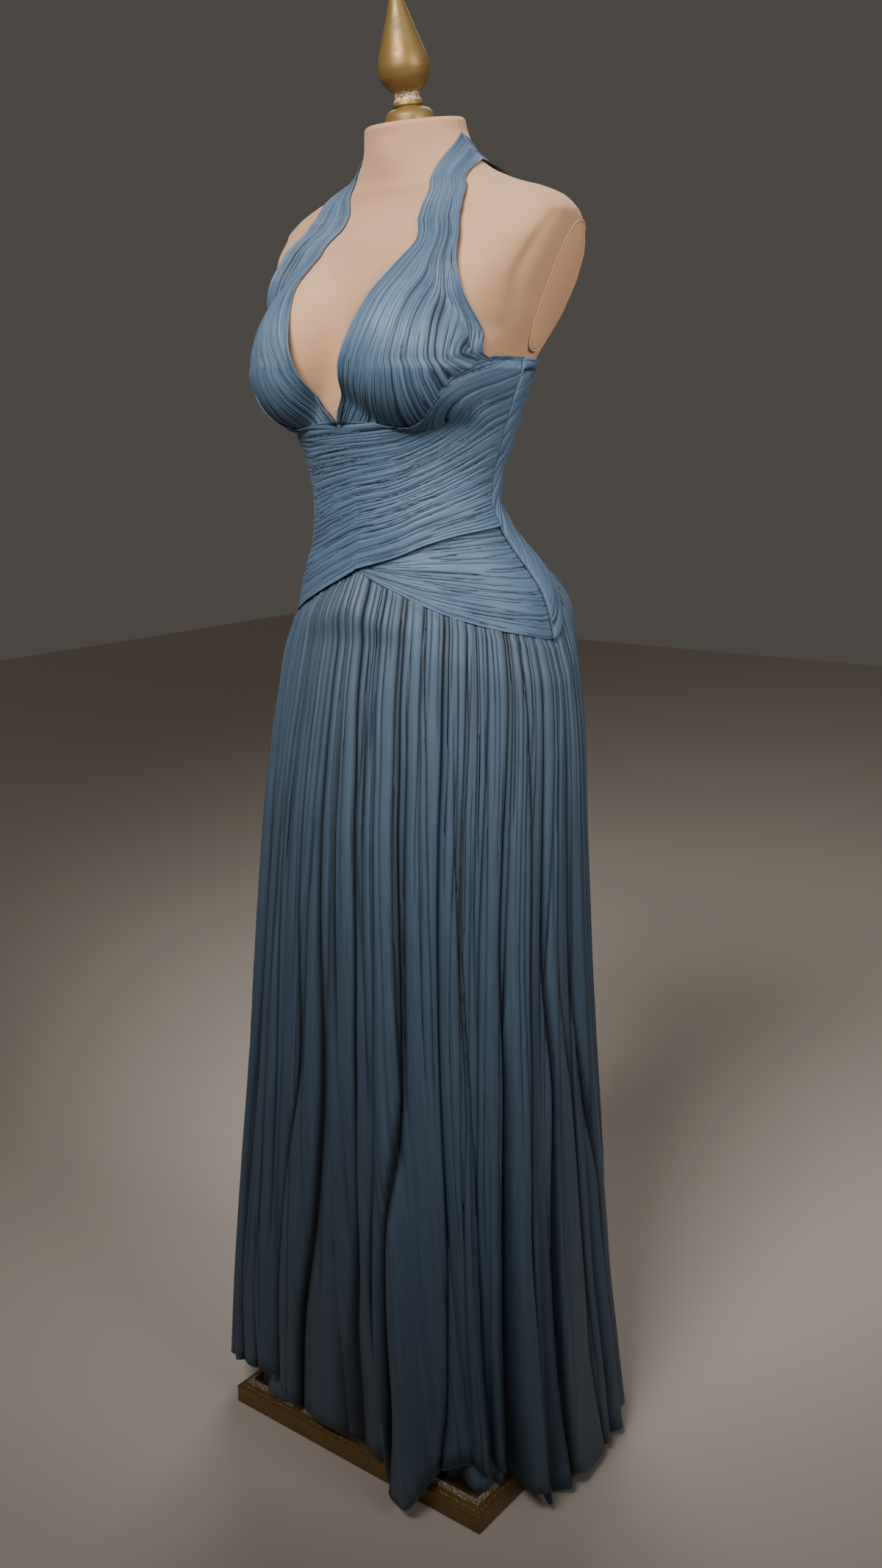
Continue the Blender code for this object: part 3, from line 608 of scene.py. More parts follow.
# ---------------------------------------------------------------- the dress form
def form_cover():
    """The padded torso's cover on a fine grid, with its neck leaning forward at the top."""
    heights = np.concatenate([np.linspace(TORSO_BOTTOM, 1.27, 36, endpoint=False),
                              np.linspace(1.27, 1.585, 84, endpoint=False),
                              np.linspace(1.585, NECK_TOP, 14)])
    angles = np.linspace(-180, 180, 200, endpoint=False)
    points = form_points(angles[None, :], heights[:, None])
    dent = (np.exp(-((np.abs(angles)[None, :] - edge_height(ARM_GROOVE, heights, False)[:, None])
                     / 5.0) ** 2) * bump_at(heights, 1.44, 0.085)[:, None])
    bare = smooth_step((heights - 1.355) / 0.045)[:, None]
    points = lifted(points, -FORM_DEPTH + 0.0026 * bare - 0.0026 * dent)
    # Rounded rim at the top, then the flat cap inside it.
    rim = 0.006
    centre = np.array([0.0, NECK_AXIS_Y, 0.0])
    top = points[-1]
    outer = top - centre
    outer[:, 2] = 0.0
    reach = np.linalg.norm(outer, axis=1, keepdims=True)
    rings = []
    for turn in np.linspace(15, 90, 6):
        back = rim * (1 - math.cos(math.radians(turn)))
        ring = top - outer / reach * back
        ring[:, 2] = NECK_TOP - rim + rim * math.sin(math.radians(turn))
        rings.append(ring)
    for share in (0.75, 0.5, 0.25, 0.02):
        ring = centre + outer / reach * (reach - rim) * share
        ring[:, 2] = NECK_TOP
        rings.append(ring)
    points[-14:, :, 2] = np.linspace(1.585, NECK_TOP - rim, 14)[:, None]
    points = np.concatenate([points, np.array(rings)])
    lean = np.clip((points[..., 2] - 1.56) / (NECK_TOP - 1.56), 0, 1) ** 1.5
    points[..., 2] += lean * math.tan(NECK_TILT) * (points[..., 1] - NECK_AXIS_Y)
    side = bump_at(np.abs(angles)[None, :] + 0 * points[..., 0], 97.0, 1.2)
    side = side * smooth_step((points[..., 2] - 1.555) / 0.02)
    points = lifted(points, -0.0008 * side)
    cover = surface("dress_form", points, jersey, shade=side, wrap=True)
    fill_ends(cover)
    return finish_piece(cover, "form_jersey", "form_torso")


def arm_plates():
    """The flat ends of the shoulders: a padded oval with a seam round it."""
    (top_z, top_x), (low_z, low_x) = ARM_PLATE_TOP, ARM_PLATE_BOTTOM
    slope = math.atan2(top_x - low_x, top_z - low_z)
    middle = 0.5
    centre = (low_x + (top_x - low_x) * middle, 0.01, low_z + (top_z - low_z) * middle)
    share = np.concatenate([np.linspace(0.02, 0.9, 9), [0.94, 0.97, 0.99, 1.0, 1.0]])[:, None]
    height = np.concatenate([0.0026 - 0.0008 * np.linspace(0, 1, 9) ** 2,
                             [0.0016, 0.0014, 0.001, 0.0002, -0.001]])[:, None]
    steps = 90
    turn = np.linspace(0, 2 * math.pi, steps, endpoint=False)[None, :]
    round_out = (np.abs(np.cos(turn)) ** 2.6 + np.abs(np.sin(turn)) ** 2.6) ** (-1 / 2.6)
    for side, word in ((1, "left"), (-1, "right")):
        across = np.cos(turn) * round_out * 0.0195 * share
        up = np.sin(turn) * round_out * 0.069 * share
        points = np.stack([
            side * (centre[0] + height * math.cos(slope) + up * math.sin(slope)),
            centre[1] + across + up * 0.25,
            centre[2] - height * math.sin(slope) + up * math.cos(slope)], axis=-1)
        plate = surface(f"arm_plate_cover_{word}", points, plate_jersey,
                        shade=bump_at(share, 0.96, 0.03) + 0 * turn, wrap=True)
        fill_ends(plate)
        finish_piece(plate, "form_jersey", f"arm_plate_{word}")
        rim = points[-2, list(range(steps)) + [0, 1]] + (side * 0.0006, 0.0, 0.0)
        finish_piece(tube(f"arm_plate_piping_{word}", rim, 0.0011, jersey, sides=6), "form_jersey")


def turned(name, profile, finish, place=(0.0, 0.0, 0.0), tilt=0.0, steps=72, wear=None):
    """A smooth profile spun about an upright axis, then tilted about X and put in its place."""
    profile = np.array(profile)
    turn = np.linspace(0, 2 * math.pi, steps, endpoint=False)[None, :]
    radius, height = profile[::-1, :1], profile[::-1, 1:]
    x, y, z = radius * np.cos(turn), radius * np.sin(turn), height + 0 * turn
    points = np.stack([x + place[0],
                       y * math.cos(tilt) - z * math.sin(tilt) + place[1],
                       y * math.sin(tilt) + z * math.cos(tilt) + place[2]], axis=-1)
    shade = None if wear is None else np.asarray(wear)[::-1, None] + 0 * turn
    piece = surface(name, points, finish, shade=shade, wrap=True)
    fill_ends(piece)
    return piece


def finer_profile(profile, times=6):
    """A profile with more points, on a smooth curve through the given ones."""
    rows = np.array(profile, dtype=float)
    run = np.concatenate([[0], np.cumsum(np.linalg.norm(np.diff(rows, axis=0), axis=1))])
    at = np.interp(np.linspace(0, len(rows) - 1, (len(rows) - 1) * times + 1),
                   np.arange(len(rows)), run)
    return smooth_table(np.column_stack([run, rows]), at).T


def stand():
    x, y = FINIAL_PLACE
    foot = NECK_TOP + math.tan(NECK_TILT) * (y - NECK_AXIS_Y) + 0.0002
    profile = finer_profile(FINIAL_PROFILE)
    wear = bump_at(profile[:, 1], 0.0245, 0.012) + 0.4 * bump_at(profile[:, 1], 0.036, 0.01)
    finial = turned("turned_finial", profile, gilding, (x, y, foot), FINIAL_TILT, wear=wear)
    finish_piece(finial, "old_gilding", "finial")
    low, high = BASE_HEIGHT + 0.0003, TORSO_BOTTOM + 0.004
    pole = ((0.0001, high), (POLE_RADIUS, high), (POLE_RADIUS, low + 0.013),
            (POLE_RADIUS + 0.001, low + 0.0115), (POLE_RADIUS * 1.5, low + 0.01),
            (POLE_RADIUS * 2.1, low + 0.006), (POLE_RADIUS * 2.2, low + 0.004),
            (POLE_RADIUS * 2.2, low), (0.0001, low))
    finish_piece(turned("stand_pole", pole, steel, (0.0, BASE_Y, 0.0), steps=48), "pole_steel", "pole")


def box_ring(inset, corner, height, steps=6, runs=24):
    """The base's outline drawn in by inset, with round corners, from the +X side round."""
    half_x, half_y = BASE_SIZE[0] / 2 - inset, BASE_SIZE[1] / 2 - inset
    points = []
    for quarter, (out, run) in enumerate(((half_x, half_y), (half_y, half_x)) * 2):
        along = np.linspace(-(run - corner), run - corner, runs + 1)[:-1]
        bend = np.radians(np.linspace(0, 90, steps + 1))[:-1]
        flat = np.concatenate([
            np.column_stack([np.full(runs, out), along]),
            np.column_stack([out - corner + corner * np.cos(bend),
                             run - corner + corner * np.sin(bend)])])
        c, s = round(math.cos(math.pi / 2 * quarter)), round(math.sin(math.pi / 2 * quarter))
        points.append(flat @ np.array([[c, s], [-s, c]]))
    ring = np.concatenate(points) + (0.0, BASE_Y)
    return np.column_stack([ring, np.full(len(ring), height)])


def moulded_base():
    """The base: its moulding's profile of inset and height, carried round a rectangle."""
    side = BASE_SIDE_HEIGHT
    profile = ((0.15, 0.0), (0.0008, 0.0), (0.0, 0.0008), (0.0, side - 0.0012),
               (0.0004, side - 0.0003), (0.0014, side), (0.0034, side + 0.0002),
               (0.0038, side + 0.0008), (0.0038, side + 0.0018), (0.0046, side + 0.0026),
               (0.008, side + 0.003), (0.0086, side + 0.0034), (0.0086, side + 0.0044),
               (0.0096, side + 0.0056), (0.0118, side + 0.0072), (0.0134, BASE_HEIGHT),
               (0.0156, BASE_HEIGHT), (0.0164, BASE_HEIGHT - 0.0006))
    rings = np.array([box_ring(inset, 0.0022, height) for inset, height in profile])
    worn = np.array([0, 0, .2, .1, .6, .5, .2, .5, .5, .7, .3, .6, .5, .8, .8, 1.0, 1.0, .8])
    body = surface("base_moulding", rings, gilding, shade=worn[:, None] + 0 * rings[..., 0], wrap=True)
    fill_ends(body)
    finish_piece(body, "old_gilding", "base")
    x, y = np.meshgrid(np.linspace(-1, 1, 40) * (BASE_SIZE[0] / 2 - 0.016),
                       np.linspace(-1, 1, 40) * (BASE_SIZE[1] / 2 - 0.016) + BASE_Y)
    panel = surface("base_top_panel", np.stack([x, y, 0 * x + BASE_HEIGHT - 0.0004], axis=-1),
                    panel_brown)
    walled(panel, 0.0006, -1.0)
    finish_piece(panel, "old_gilding")


# ---------------------------------------------------------------- the bodice
def pleated(name, base, across, along, metres, sets, lift, swell=0.0, pleats_across=True, lean=0.0):
    """Cloth on a base grid with creases pressed into it.

    The base is lifted along its normals, less the creases' depth, and each point is drawn
    sideways towards its crease.  The UV map is in metres, across the pleats and along them.  The
    creases' depth is also painted on as shade.
    """
    depth, draw = crease_field(across, along, metres, sets, lean=lean)
    side = unit_steps(base, 1 if pleats_across else 0)
    points = base + normals(base) * (lift + swell - depth)[..., None] + side * draw[..., None]
    run = lengths(base, 0 if pleats_across else 1)
    if not pleats_across:
        run = run - run[:, run.shape[1] // 2:run.shape[1] // 2 + 1]
    over = across * np.mean(np.broadcast_to(metres, base.shape[:2]))
    uv = np.stack([over + 0 * run, run], axis=-1)
    return walled(surface(name, points, crepe, uv=uv, shade=depth / CREASE_SHADE))


def halter_edges(v):
    """Inner angle and height, then outer angle and height, of the halter panel's rows."""
    t = np.minimum(v / HALTER_RIDGE, 1.0)
    turn = np.maximum((t - STRAP_TURN) / (1 - STRAP_TURN), 0.0) ** 2
    inner = NECKLINE_ANGLE * np.sin(0.5 * math.pi * np.minimum(t / NECKLINE_OPEN, 1.0)) + 0.4
    outer = ARMHOLE_ANGLES[0] + (ARMHOLE_ANGLES[1] - ARMHOLE_ANGLES[0]) * smooth_step(t / STRAP_TURN)
    climb = 0.5 * (smooth_step(t) + np.maximum((t - ARMHOLE_FOOT) / (1 - ARMHOLE_FOOT), 0.0))
    front = (inner + (90.0 - inner) * turn,
             NECKLINE_HEIGHTS[0] + (NECKLINE_HEIGHTS[1] - NECKLINE_HEIGHTS[0]) * t,
             outer + (90.0 - outer) * turn,
             ARMHOLE_HEIGHTS[0] + (ARMHOLE_HEIGHTS[1] - ARMHOLE_HEIGHTS[0]) * climb)
    behind = smooth_table(HALTER_BEHIND, v)
    return [np.where(v > HALTER_RIDGE, back, ahead) for back, ahead in zip(behind, front)]


def halter_grid(columns, rows):
    """The left halter panel; columns follow the gathers, from the inner to the outer edge.

    A row runs straight between the two edges in angle and height.  The lowest rows are drawn
    down under the bodice's top edge, where the gathers crowd towards the middle.
    """
    v = np.linspace(0, 1, rows)[:, None]
    u = np.linspace(0, 1, columns)[None, :]
    inner_angle, inner_z, outer_angle, outer_z = halter_edges(v)
    forward = [size * bump_at(v, row, half) for size, row, half in (NECKLINE_STAND, ARMHOLE_STAND)]
    crowd = 0.13 * np.clip(1 - v / 0.24, 0, 1) ** 1.3
    place = u - crowd * np.sin(2 * math.pi * u)
    angle = inner_angle * (1 - place) + outer_angle * place
    z = inner_z * (1 - u) + outer_z * u
    fade = np.clip(1 - v / HALTER_RIDGE * 1.5, 0, 1) ** 1.5
    z = z + fade * (edge_height(BODICE_TOP, angle[:1]) - 0.004 - z[:1])
    grid = form_points(angle, z)
    reach = 1 + 5 * smooth_step((0.36 - v) / 0.2)
    grid[..., 1] -= forward[0] * (1 - u) ** reach + forward[1] * u ** reach
    return grid, u + 0 * v, v + 0 * u


def halter():
    """Both bust panels with their straps, and the back straps that they meet."""
    columns, rows = 216, 142
    grid, u, v = halter_grid(columns, rows)
    width = lengths(grid, 1)[:, -1:]
    ridge = int(round(HALTER_RIDGE * (rows - 1)))
    gathers = creases(64, 3, first=(-0.3, -0.2), last=(0.0, 0.16), width=(0.0006, 0.0011),
                      depth=(0.0012, 0.003), fade=0.09, wander=0.1)
    pleats = creases(54, 5, first=(-0.3, 0.12), last=(0.3, 1.2), width=(0.0005, 0.0009),
                     depth=(0.0005, 0.0013), fade=0.12, wander=0.12, tilt=0.5)
    strap = creases(17, 8, first=(0.2, 0.4), last=(1.2, 1.3), width=(0.0006, 0.0011),
                    depth=(0.0009, 0.0019), fade=0.14, wander=0.2, tilt=0.5)
    deep = creases(5, 11, place=(0.46, 0.92), first=(-0.2, 0.03), last=(0.3, 0.5),
                   width=(0.001, 0.0018), depth=(0.0024, 0.0036), fade=0.12, wander=0.2)
    sets = (gathers, pleats, strap, deep)
    roll = 0.0012 * (np.exp(-u * width / 0.003) + np.exp(-(1 - u) * width / 0.003))
    swell = roll * smooth_step(v / 0.1) + 0.0008 + 0.003 * u * bump_at(v, 0.72, 0.09)
    for side, word in ((1, "left"), (-1, "right")):
        for first, last, label in ((0, ridge + 1, "bust_panel"), (ridge, rows, "strap_down_back")):
            part = slice(first, last)
            base, place = grid[part], u[part]
            if side < 0:
                base, place = base[:, ::-1] * (-1, 1, 1), place[:, ::-1]
            raise_by = swell[part] if side > 0 else swell[part, ::-1]
            piece = pleated(f"{label}_{word}", base, place, v[part], side * width[part],
                            sets, UNDER_LAYER, swell=raise_by)
            front = label == "bust_panel"
            finish_piece(piece, "gown_crepe", f"{'bust' if front else 'back_strap'}_{word}")


def body_patch(angles, low, high, rows):
    t = np.linspace(0, 1, rows)[:, None]
    return form_points(angles[None, :], low[None, :] * (1 - t) + high[None, :] * t), t


def wrap_creases(count, seed, depth, length, width=(0.0006, 0.0011)):
    """Short creases one above another, each from its own place along the wrap."""
    draw = np.random.default_rng(seed)
    made = creases(count, seed, width=width, depth=depth, fade=0.05, wander=0.6)
    start = draw.uniform(-0.3, 0.95, count)
    made["first"] = start
    made["last"] = start + draw.uniform(*length, count)
    return made


def crosswise(name, node_name, base, across, along, metres, sets, lift, swell=0.0, lean=0.0):
    piece = pleated(name, base, across, along, metres, sets, lift, swell, False, lean)
    return finish_piece(piece, "gown_crepe", node_name)


def bodice():
    """The midriff wrap, the wrap over the left hip, the back panels, the zip and side seams."""
    angles = np.linspace(-SIDE_SEAM, SIDE_SEAM, 140)
    top = edge_height(BODICE_TOP, angles)
    low = np.where(angles > 0, edge_height(CROSSING, angles), edge_height(YOKE, angles))
    along = ((angles + SIDE_SEAM) / (2 * SIDE_SEAM))[None, :]
    reach = (edge_height(PLEAT_TOP, angles, False) - low)[None, :]
    # Low rows run with the pleats; the upper ones turn to meet the top edge.
    t = np.linspace(0, 1, 260)[:, None]
    base = form_points(angles[None, :], low + (reach * (1 - t) + (top - low) * t) * t)
    height = lengths(base, 0)[-1:]
    sets = (wrap_creases(50, 21, (0.0007, 0.0014), (0.3, 1.0)),
            wrap_creases(80, 22, (0.0007, 0.002), (0.06, 0.24)),
            wrap_creases(80, 23, (0.0006, 0.0018), (0.04, 0.14)),
            wrap_creases(80, 24, (0.0005, 0.0016), (0.04, 0.14)),
            wrap_creases(60, 25, (0.0018, 0.003), (0.03, 0.1), (0.0006, 0.0009)))
    settle = 0.0018 * smooth_step(-angles / 12)[None, :] * smooth_step(1 - 4 * t)
    rolled = 0.0014 * np.exp(-t * height / 0.003)
    tuck = 0.003 * smooth_step((angles - 38) / 22)[None, :] * smooth_step(t * 4 - 3)
    piece = crosswise("midriff_wrap_cloth", "midriff_wrap", base, (base[..., 2] - low) / reach,
                      along + 0 * t, reach, sets, OVER_LAYER, rolled - tuck - settle, 0.5)

    angles = np.linspace(0.6, SIDE_SEAM, 84)
    base, t = body_patch(angles, edge_height(YOKE, angles), edge_height(CROSSING, angles) + 0.01, 160)
    along = (angles / SIDE_SEAM)[None, :]
    height = lengths(base, 0)[-1:]
    sets = (wrap_creases(34, 31, (0.0007, 0.0017), (0.4, 1.2)),
            wrap_creases(44, 32, (0.0008, 0.0022), (0.1, 0.4)),
            wrap_creases(40, 33, (0.0004, 0.001), (0.1, 0.3)))
    piece = crosswise("hip_wrap_cloth", "hip_wrap_left", base, t + 0 * along, along + 0 * t, height,
                      sets, UNDER_LAYER + 0.0006, lean=0.5)

    for side, word in ((1, "left"), (-1, "right")):
        angles = np.linspace(SIDE_SEAM, 180 - ZIP_HALF_ANGLE, 56)
        angles = angles if side > 0 else -angles[::-1]
        along = ((np.abs(angles) - SIDE_SEAM) / (180 - SIDE_SEAM))[None, :]
        t = np.linspace(0, 1, 180)[:, None]
        rising = t + 0.7 * t * (1 - t) * (1 - np.exp(-along / 0.2))
        low, top = edge_height(YOKE, angles), edge_height(BODICE_TOP, angles)
        base = form_points(angles[None, :], low + (top - low) * rising)
        height = lengths(base, 0)[-1:]
        sets = (wrap_creases(44, 41, (0.0026, 0.005), (0.4, 1.2), (0.001, 0.0019)),
                wrap_creases(60, 42, (0.0008, 0.0022), (0.1, 0.5)))
        puff = 0.0034 * bump_at(along, 0.08, 0.14)
        piece = crosswise(f"back_panel_{word}", f"back_bodice_{word}", base, t + 0 * along,
                          along + 0 * t, height, sets, UNDER_LAYER + 0.0018, puff + 0 * t)

    zip_angles = np.linspace(180 - ZIP_HALF_ANGLE - 0.2, 180 + ZIP_HALF_ANGLE + 0.2, 21)
    low, top = (edge_height(edge, np.full(21, 180.0)) for edge in (YOKE, BODICE_TOP))
    base, t = body_patch(zip_angles, low, top, 120)
    groove = 0.0014 * np.exp(-np.abs(zip_angles - 180) / 0.35)[None, :]
    points = lifted(base, UNDER_LAYER + 0.0022 - groove + 0 * t)
    uv = np.stack([lengths(base, 1), lengths(base, 0)], axis=-1)
    # The crease value here paints shade along the zip's groove.
    strip = walled(surface("zip_placket", points, crepe, uv=uv, shade=groove / 0.0014 + 0 * t))
    finish_piece(strip, "zip_tape", "back_zip")

    for side, word in ((1, "left"), (-1, "right")):
        z = np.linspace(edge_height(YOKE, [92.0])[0] - 0.002, edge_height(BODICE_TOP, [92.0])[0], 90)
        seam = form_points(np.array([[SIDE_SEAM - 1.0, SIDE_SEAM, SIDE_SEAM + 1.0]]) * side, z[:, None])
        if side < 0:
            seam = seam[:, ::-1]
        path = lifted(seam, np.full(seam.shape[:2], 0.004))[:, 1]
        cord = tube(f"side_seam_cord_{word}", path, 0.0013, skirt_crepe_painted_shade)
        finish_piece(cord, "gown_crepe")


# ---------------------------------------------------------------- the skirt
# The deepest gaps between folds: angle at each share of the skirt's length, then the width and
# the depth at the yoke and at the hem in millimetres.
PATH_SHARES = (0.0, 0.33, 0.52, 0.7, 0.87, 1.0)
MAIN_GAPS = (
    ((-46, -46, -47, -46, -44, -42), 2.0, 6.0, 5, 14),
    ((-34, -34, -35, -36, -38, -36), 2.0, 5.0, 5, 13),
    ((-26, -24, -26, -26, -29, -27), 2.2, 6.0, 6, 16),
    ((-12, -11, -9, -14, -18, -18), 2.2, 5.5, 6, 15),
    ((-4, -3, -1.5, -3, -7, -8), 2.6, 7.0, 7, 17),
    ((7, 8.5, 7, 4, 1.2, 0.6), 3.0, 4.5, 8, 14),
    ((15, 16, 14, 8.5, 6, 4.2), 2.0, 5.0, 5, 12),
    ((24, 24, 22.5, 13.5, 10, 6.5), 2.4, 7.5, 6, 24),
    ((39, 38, 37, 35.5, 30.5, 22.5), 2.4, 5.5, 6, 22),
    ((48, 46, 47, 44, 42, 40), 2.2, 6.0, 6, 10),
    ((56, 54, 53, 51, 50, 49), 2.4, 6.5, 6, 9),
    ((64, 62, 64.5, 64.5, 64.5, 65), 2.4, 9.0, 6, 20),
    ((70, 75, 75, 73, 75, 73.5), 2.0, 7.0, 5, 22),
    ((79, 81, 84.5, 84, 84.5, 85.5), 2.2, 5.0, 6, 20),
    ((87, 86.5, 91, 92, 91, 92), 2.0, 4.5, 5, 9),
    ((93, 92.5, 97, 102, 103, 103.5), 2.2, 5.5, 6, 20),
)


def main_gaps():
    rows = len(MAIN_GAPS)
    width, width_low, depth, depth_low = np.array([row[1:] for row in MAIN_GAPS], float).T / 1000
    flat = {key: np.zeros(rows) for key in ("place", "wander", "waves", "phase", "tilt")}
    return dict(flat, path=np.array([row[0] for row in MAIN_GAPS], float), width=width,
                widen=width_low / width, depth=depth, deepen=depth_low / depth,
                first=np.full(rows, -0.5), last=np.full(rows, 1.5), fade=np.full(rows, 0.2))


FOLD_WAVES = ((26, 0.55, 0.4), (17, 0.3, 2.1), (9, 0.25, 4.0))
FOLD_DEPTH_TOP = 0.0006
FOLD_DEPTH_HEM = 0.007
PRESSED_LINES = (0.93, 0.842)      # heights of the faint lines where the skirt was folded


def fold_wave(angle):
    turn = np.radians(angle)
    return sum(share * np.sin(count * turn + phase) for count, share, phase in FOLD_WAVES)


def large_folds(angle):
    """The rise of the largest folds at the hem: flat in the middle and eased at both sides."""
    return sum(rise * smooth_step(2 - 2 * np.abs(angle - place) / half_width)
               for place, half_width, rise in FOLDS)


def skirt_base(angles, t):
    """The skirt from the yoke's seam to the hem, before its folds."""
    top = edge_height(YOKE, angles)[None, :] + 0.0005
    low = edge_height(HEM, angles, mirrored=False)[None, :]
    z = top + (low - top) * t
    x, y, _ = ring_points(SKIRT_SECTIONS, angles[None, :], z)
    hang = np.stack([x, y, z], axis=-1)
    start = lifted(form_points(np.broadcast_to(angles[None, :], z.shape), z),
                   np.full(z.shape, UNDER_LAYER))
    blend = smooth_step((top - z) / 0.05)[..., None]
    return start * (1 - blend) + hang * blend


def fold_sides(t, left, right):
    """The angles of two of the deepest gaps at each share of the skirt's length."""
    return (smooth_table(np.column_stack([PATH_SHARES, MAIN_GAPS[k][0]]), t)[0]
            for k in (left, right))


def skirt():
    """Four quarters of one skirt: the same creases run round all of them."""
    rows = 72
    t = (np.linspace(1, 0, rows) ** 1.6)[:, None]
    gathers = creases(140, 51, place=(-180, 180), first=(-0.3, -0.2), last=(0.03, 0.3),
                      width=(0.0009, 0.0014), widen=2.8, depth=(0.0026, 0.005), deepen=1.4,
                      fade=0.1, wander=0.25, tilt=0.4)
    behind = creases(30, 52, place=(110, 310), first=(-0.3, -0.2), last=(1.3, 1.4),
                     width=(0.0018, 0.003), widen=2.8, depth=(0.004, 0.006), deepen=3.4,
                     wander=0.3)
    between = creases(92, 53, place=(-180, 180), first=(-0.2, 0.35), last=(0.3, 0.85),
                      width=(0.0015, 0.003), widen=1.9, depth=(0.003, 0.0064), deepen=1.7,
                      fade=0.2, wander=0.45, tilt=0.6)
    soft = creases(46, 54, place=(-180, 180), first=(0.2, 0.7), last=(1.0, 1.4),
                   width=(0.003, 0.005), widen=1.6, depth=(0.0016, 0.0034), deepen=1.4,
                   fade=0.3, wander=0.4)
    sets = (gathers, main_gaps(), behind, between, soft)
    quarters = (("skirt_front_left", 0, SIDE_SEAM, 264), ("skirt_back_left", SIDE_SEAM, 180, 180),
                ("skirt_back_right", -180, -SIDE_SEAM, 180),
                ("skirt_front_right", -SIDE_SEAM, 0, 264))
    for name, first, last, columns in quarters:
        step = (last - first) / (columns - 1)
        angles = first + step * np.arange(-1, columns + 1)
        base = skirt_base(angles, t)
        metres = lengths(base, 1)[:, -1:] / (step * (columns + 1))
        around, down = angles[None, :] + 0 * t, t + 0 * angles[None, :]
        depth, draw = crease_field(around, down, metres, sets, period=360)
        main, main_draw = crease_field(around, down, metres, sets[1:2], period=360)
        broad = sum(smooth_step((angles - left) / 3) * smooth_step((right - angles) / 3)
                    for left, right in (fold_sides(t, 7, 8), fold_sides(t, 12, 13)))
        calm = 0.85 * broad * smooth_step((t - 0.4) / 0.2)
        depth, draw = (plain + (few - plain) * calm
                       for plain, few in ((depth, main), (draw, main_draw)))
        ease = smooth_step(t / 0.012)
        wave = (FOLD_DEPTH_TOP + (FOLD_DEPTH_HEM - FOLD_DEPTH_TOP) * t ** 0.8) * fold_wave(angles)
        rise = wave + t * t * large_folds(angles) + 0.004 * ease
        pressed = sum(np.exp(-np.abs(base[..., 2] - line) / 0.0016) for line in PRESSED_LINES)
        rise = rise - 0.0012 * pressed * bump_at(angles, 70, 34)
        points = (base + normals(base) * (rise - depth * (0.35 + 0.65 * ease))[..., None]
                  + unit_steps(base, 1) * draw[..., None])[:, 1:-1]
        uv = np.stack([angles[None, 1:-1] * np.mean(metres) + 0 * t, -lengths(base, 0)[:, 1:-1]],
                      axis=-1)
        # Painted shade in the skirt's creases, from their depth.
        shade = (depth / (0.0031 + 0.0058 * t))[:, 1:-1]
        panel = surface(f"{name}_cloth", points, skirt_crepe_painted_shade, uv=uv, shade=shade)
        walled(panel, 0.0009)
        finish_piece(panel, "gown_crepe", name)
        hem = tube(f"{name}_rolled_hem", points[0] + (0.0, 0.0, 0.0006), 0.0011, skirt_crepe_painted_shade, sides=6)
        finish_piece(hem, "gown_crepe")


def lining():
    """The satin underskirt: a tube inside the folds that spreads on the base at its hem."""
    columns, rows = 180, 44
    angles = np.linspace(-180, 180, columns, endpoint=False)
    t = (np.linspace(1, 0, rows) ** 0.8)[:, None]
    top_z, low_z = 1.005, BASE_HEIGHT + 0.0008
    z = top_z + (low_z - top_z) * t + 0 * angles[None, :]
    x, y, _ = ring_points(SKIRT_SECTIONS, angles[None, :], z)
    around = np.stack([x, y, z], axis=-1)
    around = np.concatenate([around[:, -1:], around, around[:, :1]], axis=1)
    inset = 0.009 + 0.019 * smooth_step(t * 1.5)
    points = lifted(around, -np.broadcast_to(inset, around.shape[:2]))[:, 1:-1]
    turn = np.radians(angles)[None, :]
    ripple = 0.004 * t * (np.sin(19 * turn + 1.0) + 0.6 * np.sin(31 * turn + 2.0))
    spread_out = smooth_step((t - 0.94) / 0.06) * (
        0.02 * bump_at(angles[None, :], 40, 24) + 0.028 * bump_at(angles[None, :], -24, 24))
    out = np.stack([np.sin(turn), -np.cos(turn), 0 * turn], axis=-1)
    points = points + out * (ripple + spread_out)[..., None]
    wide = np.linspace(0, 1.25, columns + 1)[None, :]
    uv = np.stack([wide + 0 * t, (1 - t) * 0.97 + 0 * wide], axis=-1)
    tube_of_satin = surface("satin_underskirt", points, satin, uv=uv, wrap=True)
    walled(tube_of_satin, 0.0008)
    finish_piece(tube_of_satin, "lining_satin", "underskirt")


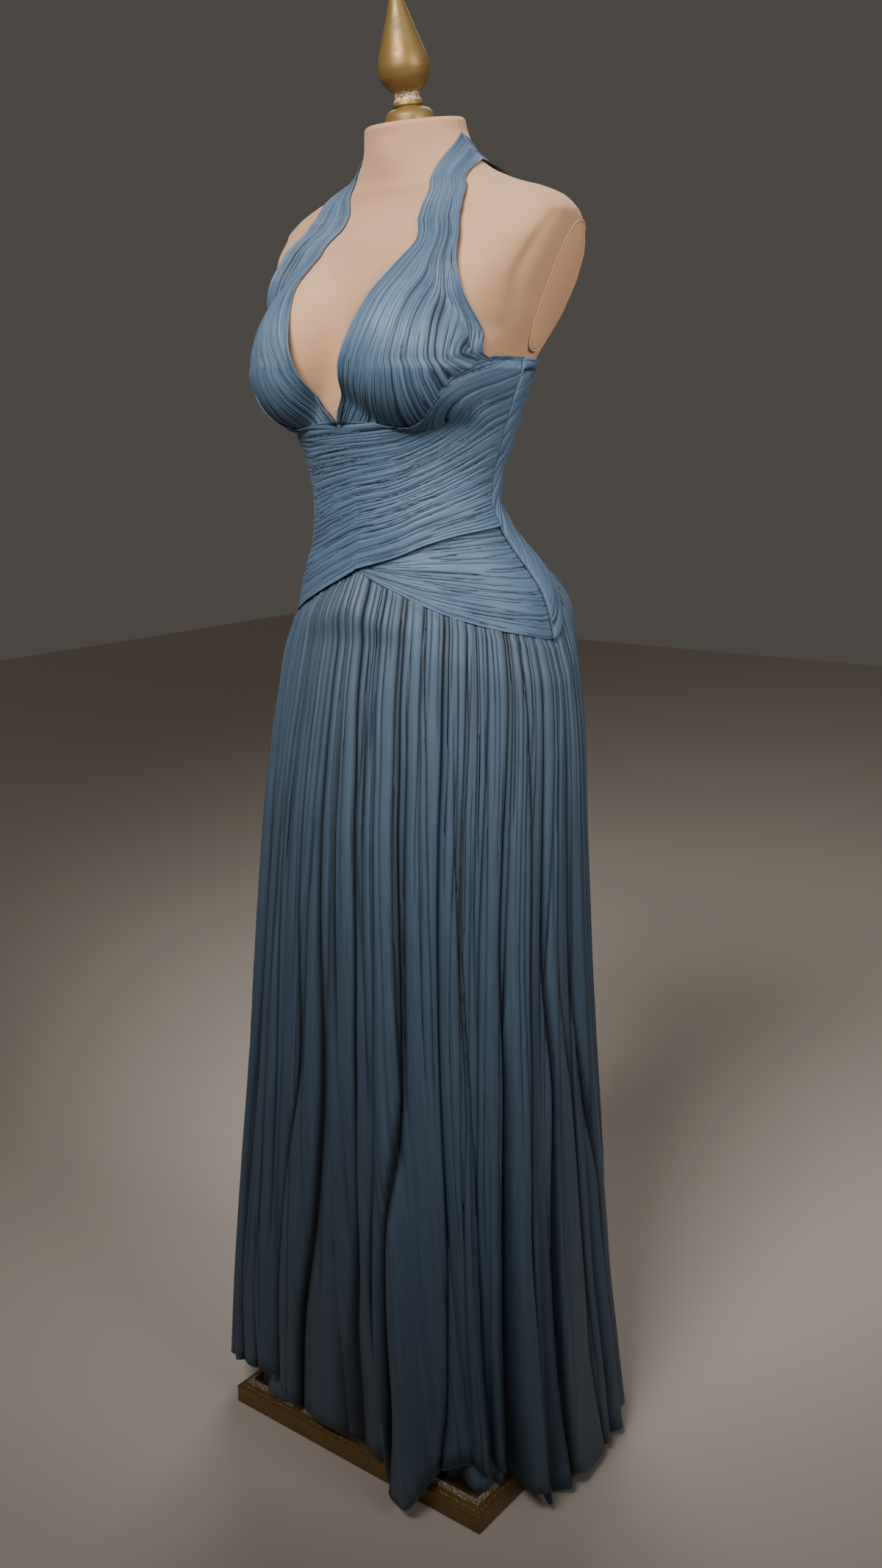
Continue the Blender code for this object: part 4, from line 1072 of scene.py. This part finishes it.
# ---------------------------------------------------------------- the room
def round_about(azimuth, distance, height):
    """A point at an azimuth from the centre front, a distance from the axis and a height."""
    return distance * math.sin(azimuth), -distance * math.cos(azimuth), height


def room():
    """A pale floor, soft lights and the camera."""
    floor_finish, _ = new_finish("floor_paper", FLOOR, 0.9, specular=0.2)
    grid = np.array([[(-6.0, -6.0, 0.0), (6.0, -6.0, 0.0)], [(-6.0, 6.0, 0.0), (6.0, 6.0, 0.0)]])
    floor = surface("floor", grid - (0, 0, 0.0004), floor_finish)

    world = bpy.data.worlds.new("studio")
    world.use_nodes = True
    background = world.node_tree.nodes["Background"].inputs
    background["Color"].default_value = (0.62, 0.56, 0.5, 1.0)
    background["Strength"].default_value = 0.125
    bpy.context.scene.world = world

    lights = (                # name, azimuth, distance, height, target height, size, watts, spread
        ("key", 13.0, 1.5, 2.5, 1.4, 1.0, 8.5, 56.0),
        ("fill", 84.0, 2.0, 2.1, 1.4, 1.2, 4.8, 60.0),
        ("back", 215.0, 1.3, 2.6, 1.4, 1.0, 3.5, 90.0),
    )
    for name, azimuth, distance, height, aim, size, watts, beam in lights:
        data = bpy.data.lights.new(name, "AREA")
        data.size = size
        data.energy = watts
        data.spread = math.radians(beam)
        lamp = bpy.data.objects.new(name, data)
        a = math.radians(azimuth)
        lamp.location = round_about(a, distance, height)
        lamp.rotation_euler = (math.atan2(distance, height - aim), 0.0, a)
        bpy.context.scene.collection.objects.link(lamp)

    camera_data = bpy.data.cameras.new("camera")
    camera_data.sensor_width = 36.0
    camera_data.lens = 32.9
    camera = bpy.data.objects.new("camera", camera_data)
    azimuth, distance, height = math.radians(38.2), 1.72, 1.28
    pitch, yaw, roll = math.radians(14.07), math.radians(0.155), math.radians(-1.0)
    camera.location = round_about(azimuth, distance, height)
    look = Euler((math.pi / 2 - pitch, 0.0, azimuth - yaw)).to_matrix() @ Matrix.Rotation(roll, 3, "Z")
    camera.rotation_euler = look.to_euler()
    bpy.context.scene.collection.objects.link(camera)
    bpy.context.scene.camera = camera


form_cover()
arm_plates()
stand()
moulded_base()
halter()
bodice()
skirt()
lining()
room()
